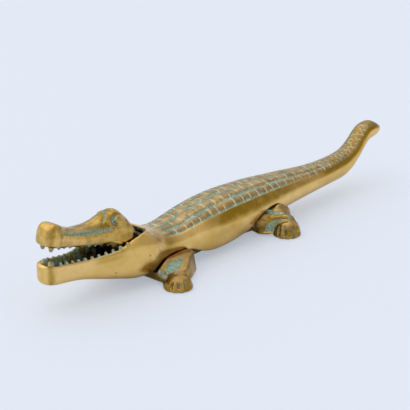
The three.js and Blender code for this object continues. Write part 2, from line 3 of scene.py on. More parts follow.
import bpy
import numpy as np
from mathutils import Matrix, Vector


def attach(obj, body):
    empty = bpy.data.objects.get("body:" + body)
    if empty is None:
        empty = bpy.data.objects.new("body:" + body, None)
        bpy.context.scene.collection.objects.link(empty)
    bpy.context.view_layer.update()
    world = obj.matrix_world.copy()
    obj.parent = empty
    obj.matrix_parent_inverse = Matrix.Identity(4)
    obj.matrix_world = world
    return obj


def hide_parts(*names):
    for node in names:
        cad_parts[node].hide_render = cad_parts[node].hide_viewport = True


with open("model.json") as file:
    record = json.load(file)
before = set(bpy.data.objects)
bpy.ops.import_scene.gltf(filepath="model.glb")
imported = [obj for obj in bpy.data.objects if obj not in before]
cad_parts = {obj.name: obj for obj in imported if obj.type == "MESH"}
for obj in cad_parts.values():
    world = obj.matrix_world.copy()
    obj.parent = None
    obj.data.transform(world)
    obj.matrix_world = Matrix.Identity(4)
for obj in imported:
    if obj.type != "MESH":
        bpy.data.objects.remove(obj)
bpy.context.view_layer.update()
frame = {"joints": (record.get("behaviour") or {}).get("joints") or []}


# Body casting: lower jaw, cheeks, collar, back and tail in one piece of sand-cast brass, hollow from below.
# The back carries four rows of scutes with chiselled cross lines, browned by age, and the grooves between
# them hold green verdigris. The flanks are polished bare. Sizes are in millimetres until the mesh is made.
NOSE, ROOT, TIP = -104.5, 36.5, 104.5
NOSE_ROUND, TIP_ROUND = 6.5, 7
pivot_place = frame["joints"][0]["pos_m"]
PIVOT, PIVOT_HEIGHT = 1000 * pivot_place[0], 1000 * pivot_place[2]
PIN_BORE = 2.6
SOCKET_HALF, SOCKET_RADIUS, THROAT_RADIUS, THROAT_TOP = 8.6, 6.4, 13.3, 5
COLLAR_MIDDLE, COLLAR_LONG, COLLAR_SCALE, COLLAR_FRONT = 6.5, 11.6, 7, -14
JAW_WALL, JAW_FLOOR, JAW_FRONT, JAW_FRONT_ROUND = 1.35, 2.4, 6.4, 4.4
BACK_WALL, BACK_ROOF, BACK_END = 2.8, 3, 8
FLANK_FRONT = -65.7
TOOTH_RADIUS = 0.95
LOWER_TEETH, LOWER_TOOTH_INSET, LOWER_TOOTH_PROUD = -97.2 + 3.1 * np.arange(11), 1.9, 0.6
LOWER_FANG_AT, LOWER_FANG_SIDE = -100.6, 1.8
ROW_GROOVES = (42.0, 62.0, 90.0, 118.0, 138.0)
INNER_GROOVES = ROW_GROOVES[1:4]
ROW_RISE, INNER_CUT, OUTER_CUT, CUT_WIDTH = 0.26, 0.36, 0.22, 0.6
CHISEL_CUT, CHISEL_WIDTH, CHISEL_PITCH_OVER_PI = 0.2, 0.3, 1.7


def outline(*points, blur=1.8):
    """A smooth line through (station, value) points: a cubic between each pair, whose slope at a point is
    the harmonic mean of the slopes beside it, then softened by a bell curve. Gives value as a function of
    station."""
    at, value = np.array(points, float).T
    rise = np.diff(value) / np.diff(at)
    before, after = rise[:-1], rise[1:]
    slope = np.zeros_like(value)
    same = before * after > 0
    slope[1:-1][same] = 2 * before[same] * after[same] / (before[same] + after[same])
    step, reach = 0.2, 40
    table = np.arange(-130, 130.01, step)
    x = np.clip(table, at[0], at[-1])
    i = np.clip(np.searchsorted(at, x) - 1, 0, len(at) - 2)
    width = at[i + 1] - at[i]
    t = (x - at[i]) / width
    start = value[i] * (1 + 2 * t) * (1 - t) ** 2 + slope[i] * width * t * (1 - t) ** 2
    end = value[i + 1] * t * t * (3 - 2 * t) + slope[i + 1] * width * t * t * (t - 1)
    weight = np.exp(-0.5 * (np.arange(-reach, reach + 1) * step / blur) ** 2)
    line = np.convolve(np.pad(start + end, reach, mode="edge"), weight / weight.sum(), mode="valid")
    return lambda station: np.interp(station, table, line)


body_half = outline(
    (-104.5, 5.4), (-90.7, 5.7), (-73.9, 8.9), (-61.7, 12.5), (-55, 12.9), (-40.9, 10.2), (-28.3, 11.1),
    (-8.5, 12.5), (0.5, 12.4), (36.5, 9.3), (70.5, 6.1), (90.9, 4.7), (104.5, 4.1))
body_top = outline(
    (-104.5, 21), (-83.1, 18.8), (-72.9, 19.55), (-62.7, 22.6), (-57, 23.6), (-52, 22.3), (-47, 19.8),
    (-42, 18.2), (-36, 17.7), (-27, 19.2), (-19.3, 20.5), (-1.3, 21.9), (16.7, 21.2), (36.5, 19.2),
    (63, 16.7), (80, 18.1), (86.8, 21.6), (93.6, 27), (98, 27.5), (104.5, 25.6), blur=1.4)
body_low = outline(
    (-104.5, 12.3), (-90.2, 11), (-73.9, 6.9), (-65.7, 4.7), (-60.6, 3.2), (-53.5, 2.6), (-38.2, 3.1),
    (-15.7, -1.2), (16.7, 2.4), (36.5, 5.4), (56.9, 6), (74.6, 6.4), (82.1, 8.5), (88.2, 14.5), (95, 19),
    (104.5, 20.2))
body_waist = outline(
    (-104.5, 17.1), (-73.9, 12.4), (-53.5, 11.5), (-40.9, 11.3), (-8.5, 11.3), (36.5, 11.8), (73.9, 11.75),
    (85.5, 15.5), (95, 23.4), (104.5, 23))
flank_edge = outline(
    (-65.7, 4.6), (-59, 4.8), (-54.4, 5), (-51.5, 5.6), (-48.3, 7.5), (-45, 8.4), (-40.4, 8.8),
    (-34.5, 8.4), (-29.3, 7.4), (-25.4, 5.6), (-20, 3.7), (-14.8, 2.9), (-6, 3.3), (1.5, 4.8), (4.9, 6.2),
    (8.3, 8.3), (11, 10.1), (15.3, 11.3), (19.5, 11.8), (23, 11.5), (26.3, 10.3), (29.5, 8.2), (33, 5.8),
    (36.5, 3.5), blur=1.0)
upper_power = outline(
    (-104.5, 10), (-73.9, 9), (-63, 4.6), (-53.5, 3.1), (-44, 2.4), (-35.5, 2.3), (36.5, 2.3), (77.3, 2.1))
lower_power = outline((-104.5, 4), (-53.5, 3), (-35.5, 2.6), (36.5, 2.4), (77.3, 2.2))


def smooth_min(a, b, blend):
    """The lesser of two fields, with a fillet: a quarter of blend, times the square of the share by which
    the two are closer than blend, is taken off."""
    near = np.maximum(blend - np.abs(a - b), 0) / blend
    return np.minimum(a, b) - near * near * blend / 4


def smooth_max(a, b, blend):
    """The greater of two fields, with a rounded edge in place of the corner."""
    return -smooth_min(-a, -b, blend)


def most(first, *others):
    """The greatest of several fields or masks."""
    for other in others:
        first = np.maximum(first, other)
    return first


def rounded(power, *parts):
    """Parts of an oval joined by a power, (a^p + b^p + ...)^(1/p), which is 1 on its rim."""
    return sum(part ** power for part in parts) ** (1 / power)


def fade(value, start, end):
    """0 before start, 1 after end, and an S curve between them."""
    t = np.clip((value - start) / (end - start), 0, 1)
    return t * t * (3 - 2 * t)


def between(value, start, full, ebb, end):
    """Rises from 0 at start to 1 at full, and falls from 1 at ebb to 0 at end."""
    return fade(value, start, full) * (1 - fade(value, ebb, end))


def bell(gap, width):
    """A bell curve, exp(-(gap / width)^2)."""
    return np.exp(-(gap / width) ** 2)


def differences(shape, x, y, z, d):
    """Change of a shape's value from d before a point to d past it, along each axis."""
    return (shape(x + d, y, z) - shape(x - d, y, z),
            shape(x, y + d, z) - shape(x, y - d, z),
            shape(x, y, z + d) - shape(x, y, z - d))


def in_mm(shape, x, y, z):
    """Close to the distance in millimetres from a shape's skin: its value over the length of its slope."""
    d = 0.05
    slope = sum(change ** 2 for change in differences(shape, x, y, z, d))
    return shape(x, y, z) * 2 * d / np.sqrt(np.maximum(slope, 1e-8))


def height_share(z, waist, top, low):
    """How far a point is above or below the waist: 0 on it, 1 at the top line and at the lower line."""
    return np.where(z > waist, (z - waist) / (top - waist), (waist - z) / (waist - low))


def body_oval(x, y, z):
    """Outside of the body: at each station the oval (|across / half width|^p + |height / reach|^p)^(1/p) - 1,
    with its own power above and below the waist. The nose and the tip join the width with their own power."""
    nose = np.maximum(0, (NOSE + NOSE_ROUND - x) / NOSE_ROUND)
    tip = np.maximum(0, (x - TIP + TIP_ROUND) / TIP_ROUND)
    u = rounded(2.2, np.abs(y) / body_half(x), nose, tip)
    waist = body_waist(x)
    v = height_share(z, waist, body_top(x), body_low(x))
    return rounded(np.where(z > waist, upper_power(x), lower_power(x)), u, v) - 1


def row_angle(x, y, z):
    """Place across the back in degrees: 0 and 180 at the waist on the left and right, 90 along the spine."""
    waist = body_waist(x)
    return np.degrees(np.arctan2((z - waist) / (body_top(x) - waist), -y / body_half(x)))


chance = np.random.default_rng(11)
ROWS, OUTER_ROWS, CHISEL_LINES = range(4), (0, 3), 26
CHISEL_AT = [np.cumsum(chance.uniform(3.7, 6.5, CHISEL_LINES)) - 46 + chance.uniform(0, 4) for row in ROWS]
CHISEL_FROM = [chance.uniform(-0.2, 0.2 if row in OUTER_ROWS else 0.35, CHISEL_LINES) for row in ROWS]
CHISEL_LONG = [
    chance.uniform(*((0.7, 1.3) if row in OUTER_ROWS else (0.5, 1.1)), CHISEL_LINES) for row in ROWS]
CHISEL_DEEP = [chance.uniform(0.65 if row in OUTER_ROWS else 0.5, 1.0, CHISEL_LINES) for row in ROWS]


def chisel_lines(x, angle):
    """Lines cut across the rows by chisel, each row with its own random places. Gives the sine of a half
    turn from line to line, zero on each, and how deep the nearest line is here: 1 is a full cut, 0 past its
    ends."""
    row = np.clip(np.searchsorted(ROW_GROOVES, angle) - 1, ROWS[0], ROWS[-1])
    taper = 0.08
    wave, deep = 0.0, 0.0
    for k in ROWS:
        count = np.interp(x, CHISEL_AT[k], np.arange(CHISEL_LINES))
        line = np.rint(count).astype(int)
        place = (angle - ROW_GROOVES[k]) / (ROW_GROOVES[k + 1] - ROW_GROOVES[k])
        start = CHISEL_FROM[k][line]
        end = start + CHISEL_LONG[k][line]
        length = between(place, start, start + taper, end - taper, end)
        wave = np.where(row == k, np.sin(np.pi * count), wave)
        deep = np.where(row == k, length * CHISEL_DEEP[k][line], deep)
    on_rows = (angle > ROW_GROOVES[0] - 3) * (angle < ROW_GROOVES[-1] + 3)
    return wave, deep * on_rows * between(x, -41, -38, 62, 72)


def row_relief(x, y, z):
    """Height of the scute rows over the plain back: each row a low pillow, each groove a bell-shaped cut, and
    the chisel lines narrow cuts across."""
    angle = row_angle(x, y, z)
    wave, deep = chisel_lines(x, angle)
    radius = np.hypot(y, z - body_waist(x))
    relief = 0.0
    for left, right in zip(ROW_GROOVES[:-1], ROW_GROOVES[1:]):
        place = np.clip((angle - left) / (right - left), 0, 1) * 2 - 1
        relief = relief + ROW_RISE * (1 - place ** 4) * (np.abs(place) < 1)
    for groove in ROW_GROOVES:
        gap = np.radians(angle - groove) * radius
        depth = INNER_CUT if groove in INNER_GROOVES else OUTER_CUT
        relief = relief - depth * np.exp(-0.5 * (gap / CUT_WIDTH) ** 2)
    from_line = wave * CHISEL_PITCH_OVER_PI
    relief = relief * between(x, -45, -39, 52, 78) - CHISEL_CUT * deep * bell(from_line, CHISEL_WIDTH)
    return relief * (z > body_waist(x))


def body_skin(x, y, z):
    """Outside of the body with its scute rows."""
    return in_mm(body_oval, x, y, z) - row_relief(x, y, z)


def jaw_trough(x, y, z):
    """Inside of the lower jaw: an oval bottom between upright walls, with a rounded front end."""
    front = np.maximum(0, (NOSE + JAW_FRONT - x) / JAW_FRONT_ROUND)
    half = np.minimum(body_half(x) - JAW_WALL, SOCKET_HALF)
    u = rounded(2.6, np.abs(y) / half, front)
    depth = np.maximum(0, (body_top(x) - z) / (body_top(x) - body_low(x) - JAW_FLOOR))
    return rounded(3.4, u, depth) - 1


def back_hollow(x, y, z):
    """Hollow under the back: a roof below the back's top line, upright sides, open below."""
    roof = body_top(x) - BACK_ROOF
    waist = np.minimum(body_waist(x), roof - 1)
    half = np.minimum(body_half(x) - BACK_WALL, SOCKET_HALF)
    rear = np.maximum(0, (x - ROOT + BACK_END) / BACK_END)
    u = rounded(3, np.abs(y) / half, rear)
    v = np.maximum(0, (z - waist) / (roof - waist))
    return rounded(3, u, v) - 1


def from_upright(x, side, z, at, wall, low, high):
    """Distance from an upright line between two heights."""
    return np.sqrt((x - at) ** 2 + (side - wall) ** 2 + (z - np.clip(z, low, high)) ** 2)


def teeth_in_lower_jaw(x, y, z):
    """Lower teeth: ribs on the inside of the jaw wall that end in blunt points above the rim, and a pair of
    fangs. Each is the distance from an upright line less a radius that shrinks upwards."""
    side = np.abs(y)
    field = 99.0
    for k, at in enumerate(LOWER_TEETH):
        wall = body_half(at) - LOWER_TOOTH_INSET
        top = body_top(at) + LOWER_TOOTH_PROUD - 0.05 * k
        share = np.clip((z - top + 3.4) / 3.6, 0, 1)
        reach = from_upright(x, side, z, at, wall, top - 5, top - 0.3)
        field = smooth_min(field, reach - (TOOTH_RADIUS - 0.4 * share), 0.2)
    reach = from_upright(x, side, z, LOWER_FANG_AT, LOWER_FANG_SIDE, 18, 21.2)
    return smooth_min(field, reach - (1.6 - 0.45 * np.clip((z - 19.5) / 2.6, 0, 1)), 0.6)


def collar_reach(x, y):
    """1 on the rim of the collar in plan, less inside it: a power-1.7 arch with its crown behind the pin."""
    return rounded(1.7, np.maximum(0, (x - PIVOT + COLLAR_MIDDLE) / COLLAR_LONG), np.abs(y) / SOCKET_HALF)


def from_pin(x, z):
    """Distance from the middle line of the pin."""
    return np.hypot(x - PIVOT, z - PIVOT_HEIGHT)


def body_field(x, y, z):
    """The body casting: its outside, less the mouth, throat, socket, collar, hollow and everything under the
    flanks, each with its rounded rim, and with the teeth joined on and the pin's bore cut last."""
    across, up = x - PIVOT, z - PIVOT_HEIGHT
    between_cheeks = np.abs(y) - SOCKET_HALF
    trough = most(in_mm(jaw_trough, x, y, z), across + COLLAR_MIDDLE)
    throat = most(from_pin(x, z) - THROAT_RADIUS, between_cheeks, across, up - THROAT_TOP)
    socket = most(from_pin(x, z) - SOCKET_RADIUS, between_cheeks)
    collar = smooth_max(most((collar_reach(x, y) - 1) * COLLAR_SCALE, COLLAR_FRONT - across), -up, 0.5)
    hollow = most(in_mm(back_hollow, x, y, z), -across)
    under = most(z - flank_edge(x), FLANK_FRONT - x, x - ROOT)
    field = body_skin(x, y, z)
    cuts = ((trough, 0.7), (throat, 0.6), (socket, 0.5), (collar, 1.1), (hollow, 0.6), (under, 0.7))
    for cut, rim in cuts:
        field = smooth_max(field, -cut, rim)
    field = smooth_min(field, teeth_in_lower_jaw(x, y, z), 0.5)
    return np.maximum(field, PIN_BORE - from_pin(x, z))


def stations(*spans):
    """Grid places along one axis: (start, end, step) spans, one after the other."""
    return np.concatenate([np.arange(start, end, step) for start, end, step in spans])


def skin_of(field, *axes):
    """Skin of a solid whose field is below zero inside: each grid cell that the skin crosses gets one point,
    the mean of the crossings on its edges, and each crossed grid edge gets a quad between the four cells
    round it. Points are then drawn onto the skin along the field's slope, which also gives their normals."""
    value = field(*np.meshgrid(*axes, indexing="ij", sparse=True))
    cells = tuple(n - 1 for n in value.shape)
    size = int(np.prod(cells))
    count = np.zeros(size)
    total = np.zeros((3, size))
    quads = []
    for axis in range(3):
        first = np.moveaxis(np.moveaxis(value, axis, 0)[:-1], 0, axis)
        second = np.moveaxis(np.moveaxis(value, axis, 0)[1:], 0, axis)
        crossed = (first < 0) != (second < 0)
        edge = np.argwhere(crossed)
        start, end = first[crossed], second[crossed]
        place = edge.astype(float)
        place[:, axis] += start / (start - end)
        ring = []
        for a, b in ((1, 1), (0, 1), (0, 0), (1, 0)):
            cell = edge.copy()
            others = [k for k in range(3) if k != axis]
            cell[:, others[0]] -= a
            cell[:, others[1]] -= b
            index = np.ravel_multi_index(cell.T, cells)
            ring.append(index)
            count += np.bincount(index, minlength=size)
            for k in range(3):
                total[k] += np.bincount(index, place[:, k], size)
        ring = np.stack(ring, 1)
        back = (start > 0) != (axis == 1)
        ring[back] = ring[back][:, ::-1]
        quads.append(ring)
    used = np.flatnonzero(count)
    number = np.full(size, -1)
    number[used] = np.arange(len(used))
    quads = number[np.concatenate(quads)]
    place = total[:, used] / count[used]
    point = np.stack([np.interp(place[k], np.arange(len(axes[k])), axes[k]) for k in range(3)], 1)

    def slope_at(point, d):
        return np.stack(differences(field, *point.T, d), 1) / (2 * d)

    longest_move = 0.3
    for _ in range(3):
        slope = slope_at(point, 0.03)
        move = slope * (field(*point.T) / np.maximum((slope ** 2).sum(1), 0.05))[:, None]
        length = np.linalg.norm(move, axis=1, keepdims=True)
        point = point - move * np.minimum(1, longest_move / np.maximum(length, 1e-9))
    normal = slope_at(point, 0.06)
    normal /= np.maximum(np.linalg.norm(normal, axis=1, keepdims=True), 1e-9)
    return point, normal, quads


def hollowness(field, point, normal, reach):
    """How much metal stands round a point: 0 on a flat or a crest, near 1 down in a narrow cut."""
    return np.clip(1 - field(*(point + normal * reach).T) / reach, 0, 1)


def sharpness(field, point, normal, reach):
    """How near a point is to an outer edge: 0 on a flat, near 1 on a crest."""
    return np.clip(1 + field(*(point - normal * reach).T) / reach, 0, 1)


def smooth_piece(name, point, faces):
    """A smooth-shaded mesh object in metres from points in millimetres."""
    mesh = bpy.data.meshes.new(name)
    mesh.from_pydata(point / 1000, [], faces)
    mesh.polygons.foreach_set("use_smooth", np.ones(len(mesh.polygons), bool))
    piece = bpy.data.objects.new(name, mesh)
    bpy.context.scene.collection.objects.link(piece)
    return piece


def cast_piece(name, point, normal, quads, marks):
    """A smooth piece with its own normals and one float attribute for each mark."""
    piece = smooth_piece(name, point, quads.tolist())
    for mark, value in marks.items():
        attribute = piece.data.attributes.new(mark, "FLOAT", "POINT")
        attribute.data.foreach_set("value", np.ascontiguousarray(value, np.float32))
    piece.data.normals_split_custom_set_from_vertices(normal)
    return piece


def body_marks(point, normal):
    """Where the body's brass is cut, hidden and so painted in shade, darkened to olive (on the flank a
    painted dark reflection), hollow or worn, each mark from 0 to about 1, with the way along the back in mm
    and the place across it in degrees."""
    x, y, z = point.T
    side = np.abs(y)
    waist, top, low = body_waist(x), body_top(x), body_low(x)
    angle = row_angle(x, y, z)
    from_spine = 90 - np.abs(angle - 90)
    depth = -in_mm(body_oval, x, y, z)
    run_step = 0.2
    run_at = np.arange(-110, 110.01, run_step)
    run = np.cumsum(np.hypot(run_step, np.gradient(body_top(run_at))))
    wave, deep = chisel_lines(x, angle)
    on_back = (z > waist) * (1 - fade(depth, 1.2, 2.0))

    # The inside of the jaw with its teeth, from behind the nose to the throat.
    jaw = fade(body_half(x) - side, 0.4, 0.9) * fade(z - top, -0.9, -0.4) * fade(x - NOSE, 5, 7)
    jaw = most(jaw, fade(depth, 0.5, 1)) * fade((z - low) / (top - low), 0.25, 0.4)
    jaw = most(jaw, (np.hypot(x - LOWER_FANG_AT, side - LOWER_FANG_SIDE) < 2.2) * fade(z, 16.5, 18))
    jaw = jaw * fade(x - NOSE, 2.2, 3.4) * (1 - fade(x, -69, -65))

    # Olive darkening: patches on belly, cheek, neck and chin, the rim, and the tail, and a band along the
    # flank.
    # Painted dark reflection: the band along the flank.
    dark_reflection_band = fade(z - waist, 0.6, 3.2) * (1 - fade(from_spine, 38, 43)) * between(x, -26, -10, 72, 84)
    dark_reflection_band = dark_reflection_band * (1 - 0.35 * fade(x, 20, 50))
    belly = 0.45 * bell(x + 12, 9) * bell(z - 10.5, 3) + 0.6 * bell(x - 1, 5) * bell(z - 6.6, 2.2)
    cheek = bell(x + 54, 6) * bell(z - 8, 4)
    neck = bell(x + 42, 5) * fade(z, 9, 14) * (1 - fade(from_spine, 40, 60))
    neck = most(neck, 0.8 * bell(x + 49, 5) * fade(z, 14, 18))
    chin = bell(x + 102.6, 1.2) * fade(side, 2.5, 3.5)
    collar_gap = np.abs(collar_reach(x, y) - 1) * COLLAR_SCALE
    rim = (1 - fade(collar_gap, 0.4, 1.8)) * fade(z, 15, 17) * (x < -46)
    tail_top = 1.2 * fade(x, 44, 66) * fade(from_spine, 6, 32)
    olive_darkening = most(dark_reflection_band, belly * (depth < 1), 0.9 * cheek, 0.8 * neck, 0.9 * rim, 0.8 * chin, tail_top)

    # Painted shade where the other casting hides the body: the inside, the collar and the arches over the
    # legs.
    in_collar = (x > -62) * (x < -44) * fade(z, 15, 16)
    at_legs = (x > 8) * (x < 34) + (x > -57) * (x < -28)
    over_legs = fade(-normal[:, 2], 0.5, 0.8) * (1 - fade(z - flank_edge(x), 0.3, 0.8)) * at_legs
    return {
        "along": np.interp(x, run_at, run),
        "angle": angle,
        "wave": wave,
        "chisel": deep * on_back,
        "back": on_back * fade(x, -46, -40),
        "inside": most(fade(depth, 1.0, 2.2), fade(depth, 0.35, 1.0) * in_collar, over_legs),
        "jaw": jaw,
        "olive_darkening": olive_darkening,
        "hollow_small": hollowness(body_field, point, normal, 0.9),
        "hollow_wide": hollowness(body_field, point, normal, 5.0),
        "edge": sharpness(body_field, point, normal, 0.8),
    }


point, normal, quads = skin_of(
    body_field, stations((-107, -58, 0.5), (-58, -40, 0.6), (-40, 68, 0.55), (68, 107, 0.7)),
    stations((-15, 15.2, 0.46)), stations((-1.5, 31, 0.48)))
body = cast_piece("body_casting_skin", point, normal, quads, body_marks(point, normal))


class Wire:
    """A shader socket with arithmetic: each operator adds a Math node to its tree."""

    def __init__(self, tree, socket=None):
        self.tree = tree
        self.socket = socket

    def node(self, kind, settings=None, inputs=None, output=0):
        """Add a node: its settings first, then the values or links of its sockets."""
        made = self.tree.nodes.new(kind)
        for name, value in (settings or {}).items():
            setattr(made, name, value)
        for key, value in (inputs or {}).items():
            if isinstance(value, Wire):
                self.tree.links.new(value.socket, made.inputs[key])
            else:
                made.inputs[key].default_value = value
        return Wire(self.tree, made.outputs[output] if made.outputs else None)

    def math(self, operation, *values):
        return self.node("ShaderNodeMath", {"operation": operation}, dict(enumerate(values)))

    def __add__(self, other):
        return self.math("ADD", self, other)

    __radd__ = __add__

    def __sub__(self, other):
        return self.math("SUBTRACT", self, other)

    def __rsub__(self, other):
        return self.math("SUBTRACT", other, self)

    def __mul__(self, other):
        return self.math("MULTIPLY", self, other)

    __rmul__ = __mul__

    def most(self, *others):
        """The greatest of this value and others."""
        wire = self
        for other in others:
            wire = wire.math("MAXIMUM", wire, other)
        return wire

    def fade(self, start, end):
        """0 at start, 1 at end, an S curve between; runs down where start is above end."""
        low, high = (start, end) if start < end else (end, start)
        limits = (0.0, 1.0) if start < end else (1.0, 0.0)
        return self.node(
            "ShaderNodeMapRange", {"interpolation_type": "SMOOTHSTEP"},
            {"Value": self, "From Min": low, "From Max": high, "To Min": limits[0], "To Max": limits[1]})

    def attribute(self, name):
        return self.node("ShaderNodeAttribute", {"attribute_name": name}, output="Fac")

    def noise(self, scale, detail=2.0, rough=0.5, stretch=(1, 1, 1)):
        """Noise on Object coordinates, with scale in cells per millimetre."""
        place = self.node("ShaderNodeTexCoord", output="Object")
        scaled = self.node("ShaderNodeVectorMath", {"operation": "MULTIPLY"},
                           {0: place, 1: tuple(1000 * scale * s for s in stretch)})
        return self.node("ShaderNodeTexNoise", None,
                         {"Vector": scaled, "Scale": 1.0, "Detail": detail, "Roughness": rough})

    def mix(self, share, first, second):
        """A colour between two colours."""
        return self.node("ShaderNodeMix", {"data_type": "RGBA"},
                         {0: share, 6: first if isinstance(first, Wire) else (*first, 1),
                          7: second if isinstance(second, Wire) else (*second, 1)}, output=2)


def blank_material(name):
    """An empty material and the wire that its shader is built from."""
    material = bpy.data.materials.new(name)
    material.use_nodes = True
    material.node_tree.nodes.clear()
    return material, Wire(material.node_tree)


BARE_WARM, BARE_PALE, BARE_DEEP = (0.71, 0.45, 0.125), (0.84, 0.56, 0.21), (0.60, 0.36, 0.08)
# The olive is tarnish and also painted shade and a painted dark reflection; the black is painted shade.
OLIVE_DARK, PIT_DARK, PAINTED_SHADE_BLACK = (0.33, 0.185, 0.014), (0.07, 0.045, 0.02), (0.045, 0.04, 0.025)
BROWN_DARK, BROWN_PALE = (0.25, 0.155, 0.05), (0.38, 0.25, 0.12)
VERDIGRIS_DARK, VERDIGRIS, VERDIGRIS_PALE = (0.13, 0.15, 0.085), (0.34, 0.52, 0.385), (0.60, 0.74, 0.59)
CHISEL_PALE = (0.68, 0.69, 0.43)


def brass_finish(wire, brown, green, pale, dark, hidden_shade, relief):
    """Old polished brass: bare metal that is warmer and cooler in patches and has small casting pits, browned
    where brown is 1, covered by matt verdigris where green is 1, with pale chisel marks, olive where dark is
    1, which the callers use for tarnish, for painted shade and for a painted dark reflection, and black where
    hidden places are marked, which is painted shade. Relief is a bump in millimetres."""
    patch = wire.noise(0.06, 3, 0.55)
    cloud = wire.noise(0.35, 4, 0.6)
    grain = wire.noise(2.2, 2, 0.6)
    pit = wire.noise(0.9, 1, 0.5).fade(0.255, 0.215)
    bare = wire.mix(patch.fade(0.35, 0.65), BARE_WARM, BARE_PALE)
    bare = wire.mix(cloud.fade(0.5, 0.75) * 0.4, bare, BARE_DEEP)
    bare = wire.mix(dark, bare, OLIVE_DARK)
    metal = wire.mix(brown, bare, wire.mix(cloud.fade(0.3, 0.7), BROWN_DARK, BROWN_PALE))
    metal = wire.mix(pit * 0.75, metal, PIT_DARK)
    # Painted shade: hidden places are painted black.
    metal = wire.mix(hidden_shade, metal, PAINTED_SHADE_BLACK)
    bloom = wire.mix(grain.fade(0.36, 0.6), VERDIGRIS_DARK, VERDIGRIS)
    bloom = wire.mix(cloud.fade(0.5, 0.7) * 0.8, bloom, VERDIGRIS_PALE)
    colour = wire.mix(pale, wire.mix(green, metal, bloom), CHISEL_PALE)
    cover = green.most(pale * 0.8)
    rough = 0.15 + cloud * 0.09 + grain * 0.05 + brown * 0.12 + hidden_shade * 0.3
    rough = rough + (0.85 - rough) * cover
    wave = wire.noise(0.22, 1, 0.4)
    height = relief + grain * 0.002 + wave * 0.06 - pit * 0.06 + green * grain * 0.10
    bump = wire.node("ShaderNodeBump", None, {"Strength": 0.55, "Distance": 0.001, "Height": height})
    shader = wire.node("ShaderNodeBsdfPrincipled", None, {
        "Base Color": colour, "Metallic": 1 - cover * 0.95, "Roughness": rough, "Normal": bump})
    wire.node("ShaderNodeOutputMaterial", None, {"Surface": shader})


def body_brass():
    """Brass of the body: brown rows with pale chisel lines, verdigris in the grooves between them and in the
    jaw, olive patches and a painted dark reflection along the flank, painted shade in broad hollows and on
    the hidden inside, and on the tail two sets of broken strokes, SINE lines of the way along and across that
    cross each other, with small dark pecks."""
    material, wire = blank_material("body_brass_old")
    along, angle = wire.attribute("along"), wire.attribute("angle")
    back, jaw, mouth = wire.attribute("back"), wire.attribute("jaw"), wire.attribute("inside")
    edge = wire.attribute("edge").fade(0.2, 0.6)
    recess = wire.attribute("hollow_small").fade(0.12, 0.4)
    # Painted shade: broad hollows are darkened.
    hollow_shade = wire.attribute("hollow_wide").fade(0.15, 0.7)
    grain = wire.noise(1.5, 2, 0.6)
    blotch = wire.noise(0.22, 3, 0.6)
    tail, tip = along.fade(150, 178), along.fade(206, 212)
    on_tail = tail * (1 - tip) * back
    rows = angle.fade(39, 43) * angle.fade(141, 137) * back

    line = wire.math("ABSOLUTE", wire.attribute("wave")) + (grain - 0.5) * 0.12
    chisel = line.fade(0.24, 0.08) * wire.attribute("chisel").fade(0.1, 0.6)
    chisel = chisel * (0.7 + 0.3 * grain.fade(0.35, 0.55))
    strokes = wire.math("SINE", along * 2.5 + angle * 0.11).fade(0.72, 0.92)
    slants = wire.math("SINE", along * 2.9 - angle * 0.14).fade(0.76, 0.94)
    strokes = strokes * wire.noise(0.5, 1, 0.5).fade(0.46, 0.52)
    slants = slants * wire.noise(0.62, 1, 0.5).fade(0.5, 0.56)
    hatch = strokes.most(slants) * on_tail * angle.fade(40, 52) * angle.fade(140, 128)
    pecks = wire.noise(1.0, 1, 0.5).fade(0.36, 0.31) * on_tail * angle.fade(46, 56) * angle.fade(134, 124)

    seams = []
    for place in ROW_GROOVES:
        ragged, outer, inner = (5, 5.4, 2.4) if place in INNER_GROOVES else (4, 3.4, 1.2)
        reach = wire.math("ABSOLUTE", angle - place)
        seams.append((reach + (grain - 0.5) * ragged).fade(outer, inner))
    groove = seams[0].most(*seams[1:]) * back * (1 - along.fade(140, 165))

    green = (groove * (0.25 + 0.75 * blotch.fade(0.33, 0.5)) * grain.fade(0.28, 0.5)).most(
        recess * mouth * blotch.fade(0.3, 0.55),
        rows * grain.fade(0.48, 0.62) * blotch.fade(0.4, 0.6) * 0.5,
        jaw * (0.25 + 0.75 * blotch.fade(0.36, 0.52)) * 0.85)
    brown = rows * (1 - tail * 0.3) * (1 - tip * 0.6) * (0.62 + 0.38 * blotch.fade(0.35, 0.6))
    olive_share = wire.attribute("olive_darkening") * (0.7 + 0.3 * blotch.fade(0.3, 0.6))
    # Dark holds painted shade from broad hollows and the hidden inside, and the flank's painted dark
    # reflection.
    dark = (hollow_shade * 0.5).most(olive_share, mouth.most(jaw) * 0.9, pecks)
    pale = (chisel * 0.9).most(hatch * 0.65, jaw * edge * grain.fade(0.4, 0.55) * 0.7)
    # Painted shade: the hidden inside, away from the jaw, is painted black.
    hidden_shade = mouth * (1 - jaw) * 0.75
    brass_finish(wire, brown * (1 - edge * 0.5), green, pale, dark * (1 - edge * 0.7), hidden_shade,
                 (hatch + pecks) * -0.1)
    return material


body.data.materials.append(body_brass())
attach(body, "tail_lever")
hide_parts("body_casting")


